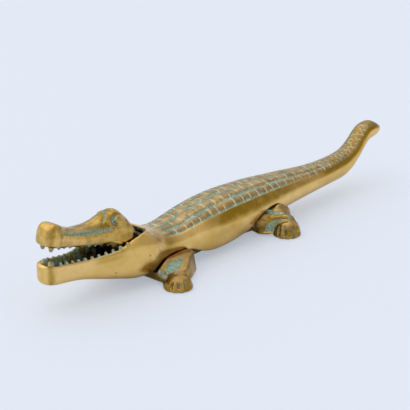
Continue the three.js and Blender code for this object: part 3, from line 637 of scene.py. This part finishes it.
# Leg casting: upper jaw and head, the hub between the cheeks, the bar under the back and the four legs, in
# one piece of sand-cast brass. The head stands up out of the collar and the flanks rest over the thighs.
# Grooves beside the snout, round the eyes and in the webs of the legs are cast in and hold verdigris.
JAW_TILT = np.radians(13.3)
SNOUT, SNOUT_ROUND, HEAD_END = -53.3, 4.6, 3
HEAD_WAIST = 0.42
UPPER_TEETH, UPPER_TOOTH_INSET = -46.5 + 3.3 * np.arange(10), 1.05
MOUTH_FRONT, MOUTH_REAR = -49, -16
LIP_HEIGHT, LIP_INSET = 5.9, 0.55
PALATE_TOP, PALATE_WALL = 6.7, 1.9
head_half = outline(
    (-53.6, 4.4), (-50, 4.95), (-46.5, 4.8), (-43, 4.3), (-36, 4.5), (-22.3, 5.5), (-16, 6.4), (-11.7, 6.7),
    (-8, 6.6), (-5, 5.8), (-3, 5.3), (0, 4.6), blur=1.2)
head_top = outline(
    (-53.6, 12.2), (-50, 12.9), (-46, 12.0), (-42, 10.7), (-37, 10), (-30.2, 10.8), (-24.4, 12.8),
    (-19.1, 15.6), (-15.4, 16.6), (-12.2, 15.2), (-8.5, 11.9), (-6, 9.6), (-3, 7.4), (0, 5.2), blur=1.0)
head_low = outline(
    (-53.6, 3.5), (-40, 3.5), (-20, 3.7), (-14, 3), (-11, -1), (-7, -4), (0, -5), blur=0.8)
lip_line = outline(
    (-48.5, 10.6), (-45.6, 9.2), (-40, 8.4), (-35, 8.3), (-29.5, 8.7), (-25, 9.2), (-20, 9.6), blur=1.0)


def rod(x, y, z, start, end, start_radius, end_radius):
    """A round-ended rod between two points, with a radius that changes evenly from end to end."""
    a, b = np.array(start, float), np.array(end, float)
    d = b - a
    px, py, pz = x - a[0], y - a[1], z - a[2]
    share = np.clip((px * d[0] + py * d[1] + pz * d[2]) / (d @ d), 0, 1)
    gap = np.sqrt((px - share * d[0]) ** 2 + (py - share * d[1]) ** 2 + (pz - share * d[2]) ** 2)
    return gap - start_radius - (end_radius - start_radius) * share


def chain(x, y, z, points, blend):
    """Rods from point to point, each point (x, y, z, radius), joined with fillets."""
    field = 99.0
    for first, second in zip(points[:-1], points[1:]):
        field = smooth_min(field, rod(x, y, z, first[:3], second[:3], first[3], second[3]), blend)
    return field


def egg(x, y, z, centre, halves):
    """An ellipsoid: its value over its slope, k0 (k0 - 1) / k1."""
    ax, ay, az = [(place - middle) / half for place, middle, half in zip((x, y, z), centre, halves)]
    size = np.sqrt(ax ** 2 + ay ** 2 + az ** 2)
    steep = np.sqrt((ax / halves[0]) ** 2 + (ay / halves[1]) ** 2 + (az / halves[2]) ** 2)
    return size * (size - 1) / np.maximum(steep, 1e-6)


def level_head(x, z):
    """Turn the head's points about the pin until its palate is level: stations and heights from the pin."""
    px, pz = x - PIVOT, z - PIVOT_HEIGHT
    c, s = np.cos(JAW_TILT), np.sin(JAW_TILT)
    return px * c - pz * s, px * s + pz * c


def head_waist(x):
    """Height of the head's widest line, a fixed share of the way up from the palate to the top."""
    return head_low(x) + HEAD_WAIST * (head_top(x) - head_low(x))


def head_oval(x, y, z):
    """Upper jaw and head, level: ovals along the jaw, flat below, with a rounded snout. The upper power is
    3.2 on the nose, less along the snout and more on the neck."""
    snout = np.maximum(0, (SNOUT + SNOUT_ROUND - x) / SNOUT_ROUND)
    u = rounded(3, np.abs(y) / head_half(x), snout)
    waist = head_waist(x)
    v = height_share(z, waist, head_top(x), head_low(x))
    above = 3.2 - 0.8 * fade(x, -47, -43) - 0.4 * fade(x, -34, -22) + 1.4 * fade(x, -13, -7)
    return rounded(np.where(z > waist, above, 4.5), u, v) - 1


EYE = ((-16.7, 4.4, 12.6), (2.1, 1.7, 1.8))
CHEEK = ((-12.8, 4.4, 3.4), (5.2, 3.3, 3.8))
JOWL = ((-14.5, 5.7, 4.6), (-10.2, 5.9, 5.4), 1.8, 2.0)
UPPER_FANG = ((-49.4, 2.5, 5.2), (-49.2, 2.3, 2.3), 1.75, 0.85)
BROW_GROOVE = (
    (-18.6, 0.3, 16.0, 0.3), (-20.2, 1.0, 15.1, 0.5), (-22.2, 2.4, 13.7, 0.6), (-24.1, 3.9, 12.0, 0.5))
EYE_GROOVE = (
    (-16.6, 3.8, 14.8, 0.3), (-18.2, 4.0, 14.0, 0.5), (-19.3, 4.4, 13.0, 0.7), (-19.1, 5.0, 12.0, 0.7),
    (-17.6, 5.7, 11.4, 0.45))


def lip_groove(x, side, z):
    """Distance from the groove between the upper lip and the snout, less its radius, which grows to the rear.
    The groove lies just outside the head's wall, a power-2.4 arch above the waist."""
    place = np.clip(x, -47.6, -20.4)
    line = lip_line(place)
    waist = head_waist(place)
    share = np.clip((line - waist) / (head_top(place) - waist), 0, 1)
    wall = head_half(place) * (1 - share ** 2.4) ** (1 / 2.4)
    gap = np.sqrt((x - place) ** 2 + (side - wall - 0.15) ** 2 + ((z - line) * 0.85) ** 2)
    return gap - (0.45 + 0.2 * fade(place, -40, -24))


def face_grooves(x, side, z):
    """Distances from the groove beside the snout and those over the brow and round the eye."""
    return (lip_groove(x, side, z), chain(x, side, z, BROW_GROOVE, 0.3), chain(x, side, z, EYE_GROOVE, 0.3))


def head_field(x, y, z):
    """The head: its oval, closed behind the pin, with eyes, cheeks, jowls and lip modelled on, less its
    grooves and the hollow palate, with the upper teeth and a pair of fangs."""
    x, z = level_head(x, z)
    side = np.abs(y)
    field = smooth_max(in_mm(head_oval, x, y, z), x - HEAD_END, 1.5)
    field = smooth_min(field, egg(x, side, z, *EYE), 1.0)
    field = smooth_min(field, egg(x, side, z, *CHEEK), 2.2)
    field = smooth_min(field, rod(x, side, z, *JOWL), 1.2)
    past_mouth = most(x - MOUTH_REAR, MOUTH_FRONT - x)
    lip = np.hypot((side - head_half(x) + LIP_INSET) / 0.8, (z - LIP_HEIGHT) / 2.2) - 1
    field = smooth_min(field, smooth_max(lip * 0.8, past_mouth, 2.0), 1.4)
    for groove, rim in zip(face_grooves(x, side, z), (0.45, 0.4, 0.4)):
        field = smooth_max(field, -groove, rim)
    palate = smooth_max(side - head_half(x) + PALATE_WALL, z - PALATE_TOP, 1.2)
    field = smooth_max(field, -smooth_max(palate, past_mouth, 1.5), 0.6)
    drop = np.clip((4.9 - z) / 2.0, 0, 1)
    for at in UPPER_TEETH:
        wall = head_half(at) - UPPER_TOOTH_INSET
        reach = from_upright(x, side, z, at, wall, 2.9, 6)
        field = smooth_min(field, reach - (TOOTH_RADIUS - 0.55 * drop), 0.3)
    return smooth_min(field, rod(x, side, z, *UPPER_FANG), 0.5)


FRONT_PAW = {"centre": (-49.4, 21.0), "toes": 4, "spread": 50, "radius": 5.7, "height": 5.5}
HIND_PAW = {"centre": (22.2, 17.0), "toes": 5, "spread": 62, "radius": 5.7, "height": 7.0}
ARM_WEB = (
    (-43.0, 14.0), (-39.3, 14.7), (-42.7, 17.0), (-46.8, 18.4), (-49.2, 18.3), (-51.0, 16.8), (-50.2, 14.4),
    (-47.2, 13.6))
SHIN_WEB = ((1.8, 1.6), (8, 1.2), (15.5, 7.4), (14, 9), (6, 7.7), (3.2, 5.8))
ARM_FRONT, ARM_REAR, ARM_OUTSIDE, ARM_TOP, ARM_UNDER = -52, -32, 21, 9.2, 0.9
ARM_BACK, ARM_BACK_FACES = (-36.3, 16.3), (0.506, 0.862)
SHOULDERS = ((-41, 0, 3.7), (11.5, 13.1, 2.6))
HIPS = ((20, 0, 5.0), (9.5, 9.0, 3.8))
THIGH = ((20.3, 7.4, 6.4), (9.0, 6.7, 5.9))
CALF = ((20.2, 11.4, 6.0), (23.6, 16.2, 5.2), 3.7, 3.2)
KNEE, SHIN_WAY = (12.7, 9.5), (0.66, 0.75)
SHIN_LONG, SHIN_THICK = 13.5, 11.5
WEB_DEPTH_ARM, WEB_DEPTH_SHIN = 0.6, 0.5
WIDE_LINE, FINE_LINE = -2.3, -1.3
UNDER_FLANK, UNDER_EDGE = 0.3, 0.35


def toe_place(x, y, centre, toes, spread):
    """Distance from the middle of a paw in plan, turn in degrees from the way it points, forward and out, and
    how near the line between two toes a point is: 0.5 on the line, 0 in the middle of a toe."""
    px, py = x - centre[0], y - centre[1]
    turn = (np.degrees(np.arctan2(py, px)) + 45) % 360 - 180
    return np.hypot(px, py), turn, np.abs((turn / (2 * spread) * (toes - 1) + toes / 2) % 1 - 0.5)


def paw(x, y, z, centre, toes, spread, radius, height):
    """A paw: a dome (r^2.3 + h^2.3)^(1/2.3) with grooves between the toes, on a rim."""
    out, turn, near = toe_place(x, y, centre, toes, spread)
    sole = 0.8
    dome = rounded(2.3, out / radius, np.abs(z - sole) / (height - sole)) - 1
    groove = (2 * near) ** 2.6 * fade(out, 0.45 * radius, 0.8 * radius)
    groove = groove * (1 - fade(np.abs(turn), spread, spread + 9))
    groove = groove * (1 - fade(z, 0.5 * height, 0.85 * height))
    rim = np.hypot(np.maximum(out - radius + 0.7, 0), np.abs(z - sole)) - sole
    return smooth_min(dome * height * 0.8 + 0.95 * groove, rim, 0.9)


def within(x, y, corners):
    """Distance from the edge of a convex patch given by its corners in order, below zero inside."""
    gap = -99.0
    for (ax, ay), (bx, by) in zip(corners, corners[1:] + corners[:1]):
        gap = most(gap, ((x - ax) * (by - ay) - (y - ay) * (bx - ax)) / np.hypot(bx - ax, by - ay))
    return gap


def shin_frame(x, side):
    """Places along the shin, from the knee outwards, and off its front face, in plan."""
    px, py = x - KNEE[0], side - KNEE[1]
    return px * SHIN_WAY[0] + py * SHIN_WAY[1], py * SHIN_WAY[0] - px * SHIN_WAY[1]


def front_legs(x, side, z):
    """Shoulders and arms: blocks whose tops fall forwards and outwards, with a slanting back and a hollow web
    in the slope, joined by a flat shoulder, cut back round the cheeks, with paws."""
    slope = z - ARM_TOP - 0.2 * (x + 38.5) + 0.12 * np.maximum(0, -47.5 - x) ** 2 + 0.3 * (side - 13.5)
    slope = slope / 1.1 - 0.7 * (1 - fade(side, 12, 15)) * fade(-x, 41, 46)
    back = (x - ARM_BACK[0]) * ARM_BACK_FACES[0] + (side - ARM_BACK[1]) * ARM_BACK_FACES[1] - 0.2 * (8 - z)
    arm = smooth_max(smooth_max(slope, back, 1.0), most(ARM_FRONT - x, z - ARM_TOP), 1.2)
    arm = smooth_max(arm, most(x - ARM_REAR, side - ARM_OUTSIDE), 1.5)
    arm = arm + WEB_DEPTH_ARM * (1 - fade(within(x, side, ARM_WEB), -0.7, 0.0)) * (slope > -2)
    arm = smooth_max(arm, ARM_UNDER - z, 0.8)
    arm = smooth_min(arm, egg(x, side, z, *SHOULDERS), 1.0)
    cheek_room = most(from_pin(x, z) - 9.2, side - 12.4 + 0.6 * (from_pin(x, z) - 7))
    arm = smooth_max(arm, -cheek_room, 0.4)
    return smooth_min(arm, paw(x, side, z, **FRONT_PAW), 1.2)


def hind_legs(x, side, z):
    """Hips and legs: egg-shaped thighs with two lines round them, over shins that have an upright front with
    a web in it, a crest that rises to the rear and a slanting end at the knee, and paws."""
    hips = egg(x, side, z, *HIPS)
    thigh = smooth_min(egg(x, side, z, *THIGH), rod(x, side, z, *CALF), 1.5)
    along, off = shin_frame(x, side)
    crest = 7 + 0.3 * along - 0.01 * along ** 2 + 0.6 * np.clip(-off, 0, 8)
    crest = crest - 0.1 * np.maximum(0, along - 6.5) ** 2 * fade(-off, 0.5, 4)
    shin = smooth_max(smooth_max(off, z - crest, 0.5), 0.8 * (0.75 * off - along), 0.6)
    shin = smooth_max(shin, smooth_max(along - SHIN_LONG, -off - SHIN_THICK, 2.0), 3.0)
    shin = smooth_max(shin, z - flank_edge(x) - 0.8, 1.0)
    shin = shin + WEB_DEPTH_SHIN * (1 - fade(within(along, z, SHIN_WEB), -0.6, 0.1)) * (off > -2)
    shin = smooth_max(shin, 0.7 + 0.25 * np.maximum(0, along - 4) - z, 0.7)
    leg = smooth_min(smooth_min(hips, thigh, 1.4), shin, 0.5)
    lines = 0.45 * bell(off - WIDE_LINE, 0.45) + 0.25 * bell(off - FINE_LINE, 0.3)
    leg = leg + lines * fade(along, 1, 3) * (z > 5)
    return smooth_min(leg, paw(x, side, z, **HIND_PAW), 0.6)


def legs_field(x, y, z):
    """The four legs with shoulders and hips, kept a third of a millimetre clear of the flanks."""
    side = np.abs(y)
    field = smooth_min(front_legs(x, side, z), hind_legs(x, side, z), 2.0)
    room = most(in_mm(body_oval, x, y, z) - UNDER_FLANK, flank_edge(x) - UNDER_EDGE - z, FLANK_FRONT - x)
    return smooth_max(field, -room, 0.5)


HUB_RADIUS, HUB_HALF = 5.8, 8.1
BAR_HALF, BAR_TOP, BAR_SLOPE_LONG = 7.3, 8.6, 16.5
BAR_END, BAR_END_ROUND = 24, 6.4
BAR_FRONT_RADIUS = 12.5
bar_low = outline((-53.5, 4), (-43, 1.2), (-37, 1.2), (-17.8, 2.2), (-1.2, 2.2), (18, 1.2), blur=2.0)


def bar_oval(x, y, z):
    """The bar from the throat to the hips: power-5 ovals across, between its lower and its upper line."""
    share = np.clip((x - PIVOT) / BAR_SLOPE_LONG, 0, 1)
    half = HUB_HALF + (BAR_HALF - HUB_HALF) * share
    high = PIVOT_HEIGHT + np.where(x < PIVOT, (x - PIVOT) * 0.4, (BAR_TOP - PIVOT_HEIGHT) * share)
    low = bar_low(x)
    v = np.abs(z - (low + high) / 2) / np.maximum((high - low) / 2, 0.5)
    rear = np.maximum(0, (x - BAR_END) / BAR_END_ROUND)
    return rounded(5, np.abs(y) / half, v, rear) - 1


def bar_field(x, y, z):
    """The bar inside the hollow of the back, rounded in front about the pin."""
    round_front = from_pin(x, z) - BAR_FRONT_RADIUS - 1000 * (x > PIVOT)
    return smooth_max(in_mm(bar_oval, x, y, z), round_front, 0.8)


def hub_field(x, y, z):
    """The hub on the pin: a barrel with rounded rims."""
    return smooth_max(from_pin(x, z) - HUB_RADIUS, np.abs(y) - HUB_HALF, 2.0)


def leg_field(x, y, z):
    """The leg casting: head, hub, bar and legs joined with fillets, flat on the table, bored for the pin."""
    lever = smooth_min(bar_field(x, y, z), hub_field(x, y, z), 0.8)
    lever = smooth_min(lever, head_field(x, y, z), 1.2)
    field = smooth_max(smooth_min(lever, legs_field(x, y, z), 0.8), -z, 0.5)
    return np.maximum(field, PIN_BORE - from_pin(x, z))


def toe_stain(x, side, z, centre, toes, spread, radius, height):
    """1 on the lines between the toes of a paw, on its outer half."""
    out, turn, near = toe_place(x, side, centre, toes, spread)
    stain = (1 - fade(0.5 - near, 0.04, 0.2)) * between(out / radius, 0.6, 0.8, 1.1, 1.2)
    return stain * (np.abs(turn) < spread + 6) * (1 - fade(z, 0.6 * height, 0.85 * height))


def leg_marks(point, normal):
    """Where the brass of legs and head is stained, darkened to olive, aged, hidden and so painted in shade,
    hollow or worn, each mark from 0 to about 1."""
    x, y, z = point.T
    side = np.abs(y)
    hx, hz = level_head(x, z)
    along, off = shin_frame(x, side)
    off_front_paw, off_hind_paw = paw(x, side, z, **FRONT_PAW), paw(x, side, z, **HIND_PAW)
    by_lip, by_brow, by_eye = face_grooves(hx, side, hz)
    from_groove = np.minimum(np.minimum(by_lip, by_brow), by_eye)

    # Verdigris in the lines round the thighs, between the toes and in the webs.
    on_thigh = (x > 10) * (z > 5) * fade(along, 1.5, 3) * fade(off_hind_paw, 0.3, 0.8)
    wide_line = 1 - fade(np.abs(off - WIDE_LINE), 0.3, 0.9)
    fine_line = 0.6 - 0.6 * fade(np.abs(off - FINE_LINE), 0.1, 0.4)
    lines = on_thigh * most(wide_line, fine_line)
    toes = most(0.25 * toe_stain(x, side, z, **FRONT_PAW), toe_stain(x, side, z, **HIND_PAW))

    arm_web = (1 - fade(within(x, side, ARM_WEB), -0.3, 0.4)) * (normal[:, 2] > 0.1)
    arm_web = arm_web * fade(off_front_paw, 0.3, 0.8)
    shin_web = (1 - fade(within(along, z, SHIN_WEB), -0.6, 0.2)) * (np.abs(off) < 1.4) * (x > 5)
    shin_web = shin_web * fade(off_hind_paw, 0.05, 0.3)
    arm_edge = fade(-x, 50.6, 51.4) * between(side, 11.8, 12.6, 16.8, 17.6) * fade(z, 2.8, 3.6) * (x > -54)

    # The olive darkening of the snout, which is thinner on the lip, and painted black shade where the body
    # hides the legs.
    above_lip = fade(hz - lip_line(hx), -0.4, 1.2) * fade(hx, -47, -45)
    olive_share = most(0.5 + 0.4 * above_lip, 0.9 * bell(hx + 47.2, 1.3)) + 0.5 * (1 - fade(from_groove, 0.3, 1.6))
    olive_share = most(olive_share, bell(hx + 51.3, 1.5) * fade(side, 2.7, 3.5))

    # Painted shade: the socket, the throat and the legs under the flanks are painted black.
    in_socket = (1 - fade(from_pin(x, z), 5.6, 8)) * fade(hx, -13, -7)
    in_throat = (x < -53) * (1 - fade(hz, -1.5, 0.5)) * fade(z, 5, 7)
    under_flank = most(fade(z - flank_edge(x), -2.4, -0.7), fade(normal[:, 2], 0.4, 0.8) * fade(z, 3, 5))
    under_flank = under_flank * (x > -57) * (1 - fade(in_mm(body_oval, x, y, z), 0.1, 0.9))
    return {
        "stain": np.clip(most(1 - fade(from_groove, -0.3, 0.5), lines) + toes * 0.7, 0, 1),
        "olive_darkening": np.where(x < -57, olive_share, 1.0),
        "web": most(arm_web, shin_web, arm_edge),
        "aged": (x > -57) * fade(z, 2.8, 5.2) * (1 - fade(np.abs(off), 1.2, 0.4) * (x > 5)),
        # Painted shade with verdigris: the underside of the upper jaw, which the lower jaw hides.
        "mouth": fade(4.3 - hz, -0.3, 0.6) * (1 - fade(hx, -19, -16)) * (x < -60),
        "throat": most(most(in_socket, in_throat) * (side < 8.4), under_flank),
        "hollow_small": hollowness(leg_field, point, normal, 0.9),
        "hollow_wide": hollowness(leg_field, point, normal, 4.0),
        "edge": sharpness(leg_field, point, normal, 0.8),
    }


point, normal, quads = skin_of(
    leg_field, stations((-107.6, -60, 0.38), (-60, -30, 0.45), (-30, 6, 0.9), (6, 38, 0.45)),
    stations((-29, 29.2, 0.45)), stations((-1, 39, 0.42)))
legs = cast_piece("leg_casting_skin", point, normal, quads, leg_marks(point, normal))


def leg_brass():
    """Brass of the legs and the head: verdigris in grooves and webs, brown on the legs and painted brown
    shade in broad hollows, olive darkening that is thinner on the snout, painted dark shade in the mouth, and
    painted black shade in the throat and under the flanks."""
    material, wire = blank_material("leg_brass_old")
    grain = wire.noise(1.5, 2, 0.6)
    blotch = wire.noise(0.3, 3, 0.6)
    recess = wire.attribute("hollow_small").fade(0.18, 0.5)
    # Painted shade: broad hollows are browned and darkened.
    hollow_shade = wire.attribute("hollow_wide").fade(0.15, 0.75)
    edge = wire.attribute("edge").fade(0.15, 0.55)
    mouth = wire.attribute("mouth").fade(0.2, 0.9)
    mark = wire.attribute("stain")
    stain = (mark + (grain - 0.5) * 0.9 + (blotch - 0.5) * 0.6).fade(0.45, 0.75) * mark.fade(0.02, 0.2)
    web = wire.attribute("web").fade(0.3, 0.9) * (0.3 + 0.7 * blotch.fade(0.34, 0.5)) * (1 - edge)
    green = stain.most(web, recess * blotch.fade(0.35, 0.6) * 0.7, mouth * blotch.fade(0.42, 0.6) * 0.7)
    aged = wire.attribute("aged") * (0.35 + 0.4 * blotch.fade(0.35, 0.6))
    brown = (hollow_shade * 0.7).most(blotch.fade(0.5, 0.75) * 0.4, aged) * (1 - edge * 0.7)
    olive_share = wire.attribute("olive_darkening") * (0.5 + 0.5 * blotch.fade(0.35, 0.6))
    dark = (hollow_shade * 0.5).most(mouth * 0.8, olive_share) * (1 - edge * 0.6)
    # The throat mark is painted black shade.
    brass_finish(wire, brown, green, web * 0.1, dark, wire.attribute("throat") * 0.85, green * -0.05)
    return material


legs.data.materials.append(leg_brass())
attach(legs, "leg_lever")
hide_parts("leg_casting")


# Pivot pin: a plain brass bar through cheeks and hub, riveted and filed flush with the cheeks, so that only a
# faint ring shows on each side.
PIN_RADIUS, RIVET_RADIUS = 2.48, 3.1
RING_FROM, RING_DEPTH, RIVET_PROUD = 2.95, 0.07, 0.02
PIN_HALF = 8


def pivot_pin():
    """A bar along Y whose ends follow the cheeks: rings of 48 points from the middle of one end to the other.
    Each end's points are moved out to the body's skin, a few steps by the distance that is left."""
    turn = np.linspace(0, 2 * np.pi, 48, endpoint=False)
    end = np.linspace(0.02, RIVET_RADIUS, 12)
    radius = np.concatenate([end, [PIN_RADIUS, PIN_RADIUS], end[::-1]])
    px = PIVOT + radius[:, None] * np.cos(turn)
    pz = PIVOT_HEIGHT + radius[:, None] * np.sin(turn)
    out = np.full(px.shape, 12.0)
    for _ in range(12):
        out = out - in_mm(body_oval, px, out, pz)
    face = out + RIVET_PROUD - (radius > RING_FROM)[:, None] * RING_DEPTH
    half = len(radius) // 2
    py = np.where(np.arange(len(radius))[:, None] < half, -face, face)
    py[half - 1] = -PIN_HALF
    py[half] = PIN_HALF
    index = np.arange(px.size).reshape(px.shape)
    beside = np.roll(index, -1, axis=1)
    quads = np.stack([index[:-1], index[1:], beside[1:], beside[:-1]], -1).reshape(-1, 4)
    ends = [index[0].tolist(), index[-1][::-1].tolist()]
    return np.stack([px, py, pz], -1).reshape(-1, 3), quads.tolist() + ends


def pin_brass():
    """Filed brass: the bare metal of the cheeks with fine file marks along the body."""
    material, wire = blank_material("pin_brass_filed")
    marks = wire.noise(1.0, 2, 0.6, stretch=(0.3, 1, 3))
    none = marks * 0
    brass_finish(wire, marks.fade(0.6, 0.8) * 0.3, none, none, marks.fade(0.5, 0.9) * 0.2, none, marks * 0.01)
    return material


pin = smooth_piece("pivot_pin_bar", *pivot_pin())
pin.data.materials.append(pin_brass())
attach(pin, "tail_lever")
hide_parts("pivot_pin")


# Table: a wide sheet of pale bluish card that the nutcracker stands on. It lies flat in front and curves up
# at its far edge, away from the camera, so that no line shows behind the tail.
CARD_HALF, CARD_FLAT, CARD_RADIUS, CARD_END = 3000, 2200, 1400, 3600
CARD_DROP = 0.03
AWAY = np.array([0.6846, 0.6272])


def table_card():
    """A card that is flat in front and rises behind on a quarter circle, as a grid across and along."""
    curve = np.linspace(CARD_FLAT + 50, CARD_END, 30)
    along = np.concatenate([np.linspace(-CARD_HALF, CARD_FLAT, 30), curve])
    past = np.maximum(along - CARD_FLAT, 0)
    rise = CARD_RADIUS - np.sqrt(np.maximum(CARD_RADIUS ** 2 - past ** 2, 0))
    across = np.linspace(-CARD_HALF, CARD_HALF, 24)
    view = AWAY / np.linalg.norm(AWAY)
    px = along[:, None] * view[0] - across[None, :] * view[1]
    py = along[:, None] * view[1] + across[None, :] * view[0]
    pz = np.broadcast_to(rise[:, None], px.shape) - CARD_DROP
    index = np.arange(px.size).reshape(px.shape)
    quads = np.stack([index[:-1, :-1], index[1:, :-1], index[1:, 1:], index[:-1, 1:]], -1).reshape(-1, 4)
    return np.stack([px, py, pz], -1).reshape(-1, 3), quads[:, ::-1].tolist()


def pale_card():
    """Matt card that the camera sees half lit and half at its own even colour, so that shadows stay soft."""
    material, wire = blank_material("pale_card")
    paper = wire.node("ShaderNodeBsdfDiffuse", None, {"Color": (0.80, 0.84, 0.895, 1)})
    glow = wire.node("ShaderNodeEmission", None, {"Color": (0.745, 0.79, 0.885, 1)})
    seen = wire.node("ShaderNodeLightPath", output="Is Camera Ray")
    shader = wire.node("ShaderNodeMixShader", None, {0: seen * 0.5, 1: paper, 2: glow})
    wire.node("ShaderNodeOutputMaterial", None, {"Surface": shader})
    return material


card = smooth_piece("table_card", *table_card())
card.data.materials.append(pale_card())


# Light: a pale room that is dimmer behind the camera and to its right, and one large soft lamp overhead.
# The lamp and the camera are placed in metres.
ROOM_PALE, ROOM_BEHIND, ROOM_RIGHT = (0.90, 0.94, 1.0), (0.50, 0.51, 0.53), (0.48, 0.48, 0.49)
world = bpy.data.worlds.new("pale_room")
bpy.context.scene.world = world
world.use_nodes = True
world.node_tree.nodes.clear()
wire = Wire(world.node_tree)
direction = wire.node("ShaderNodeTexCoord", output="Generated")
toward_right, toward_behind = [
    wire.node("ShaderNodeVectorMath", {"operation": "DOT_PRODUCT"}, {0: direction, 1: way}, output="Value")
    for way in ((0.80, -0.45, 0.40), (-0.66, -0.75, 0.1))]
room = wire.mix(toward_behind.fade(0.1, 0.8), ROOM_PALE, ROOM_BEHIND)
room = wire.mix(toward_right.fade(0.6, 0.95), room, ROOM_RIGHT)
sky = wire.node("ShaderNodeBackground", None, {"Color": room, "Strength": 1.19})
wire.node("ShaderNodeOutputWorld", None, {"Surface": sky})

light = bpy.data.lights.new("overhead", "AREA")
light.shape = "SQUARE"
light.size = 2.6
light.energy = 7
lamp = bpy.data.objects.new("overhead", light)
lamp.location = (-0.4, 0.4, 1.5)
lamp.rotation_euler = (-lamp.location).to_track_quat("-Z", "Y").to_euler()
bpy.context.scene.collection.objects.link(lamp)


# Camera: a long lens from the front left, a little above the crocodile.
lens = bpy.data.cameras.new("camera")
lens.lens = 188.2
lens.sensor_width = 36
lens.clip_end = 20
camera = bpy.data.objects.new("camera", lens)
camera.location = (-0.6201, -0.5584, 0.3491)
camera.rotation_euler = Vector((0.68462, 0.62724, -0.37131)).to_track_quat("-Z", "Y").to_euler()
bpy.context.scene.collection.objects.link(camera)
bpy.context.scene.camera = camera
bpy.context.scene.view_settings.view_transform = "Standard"
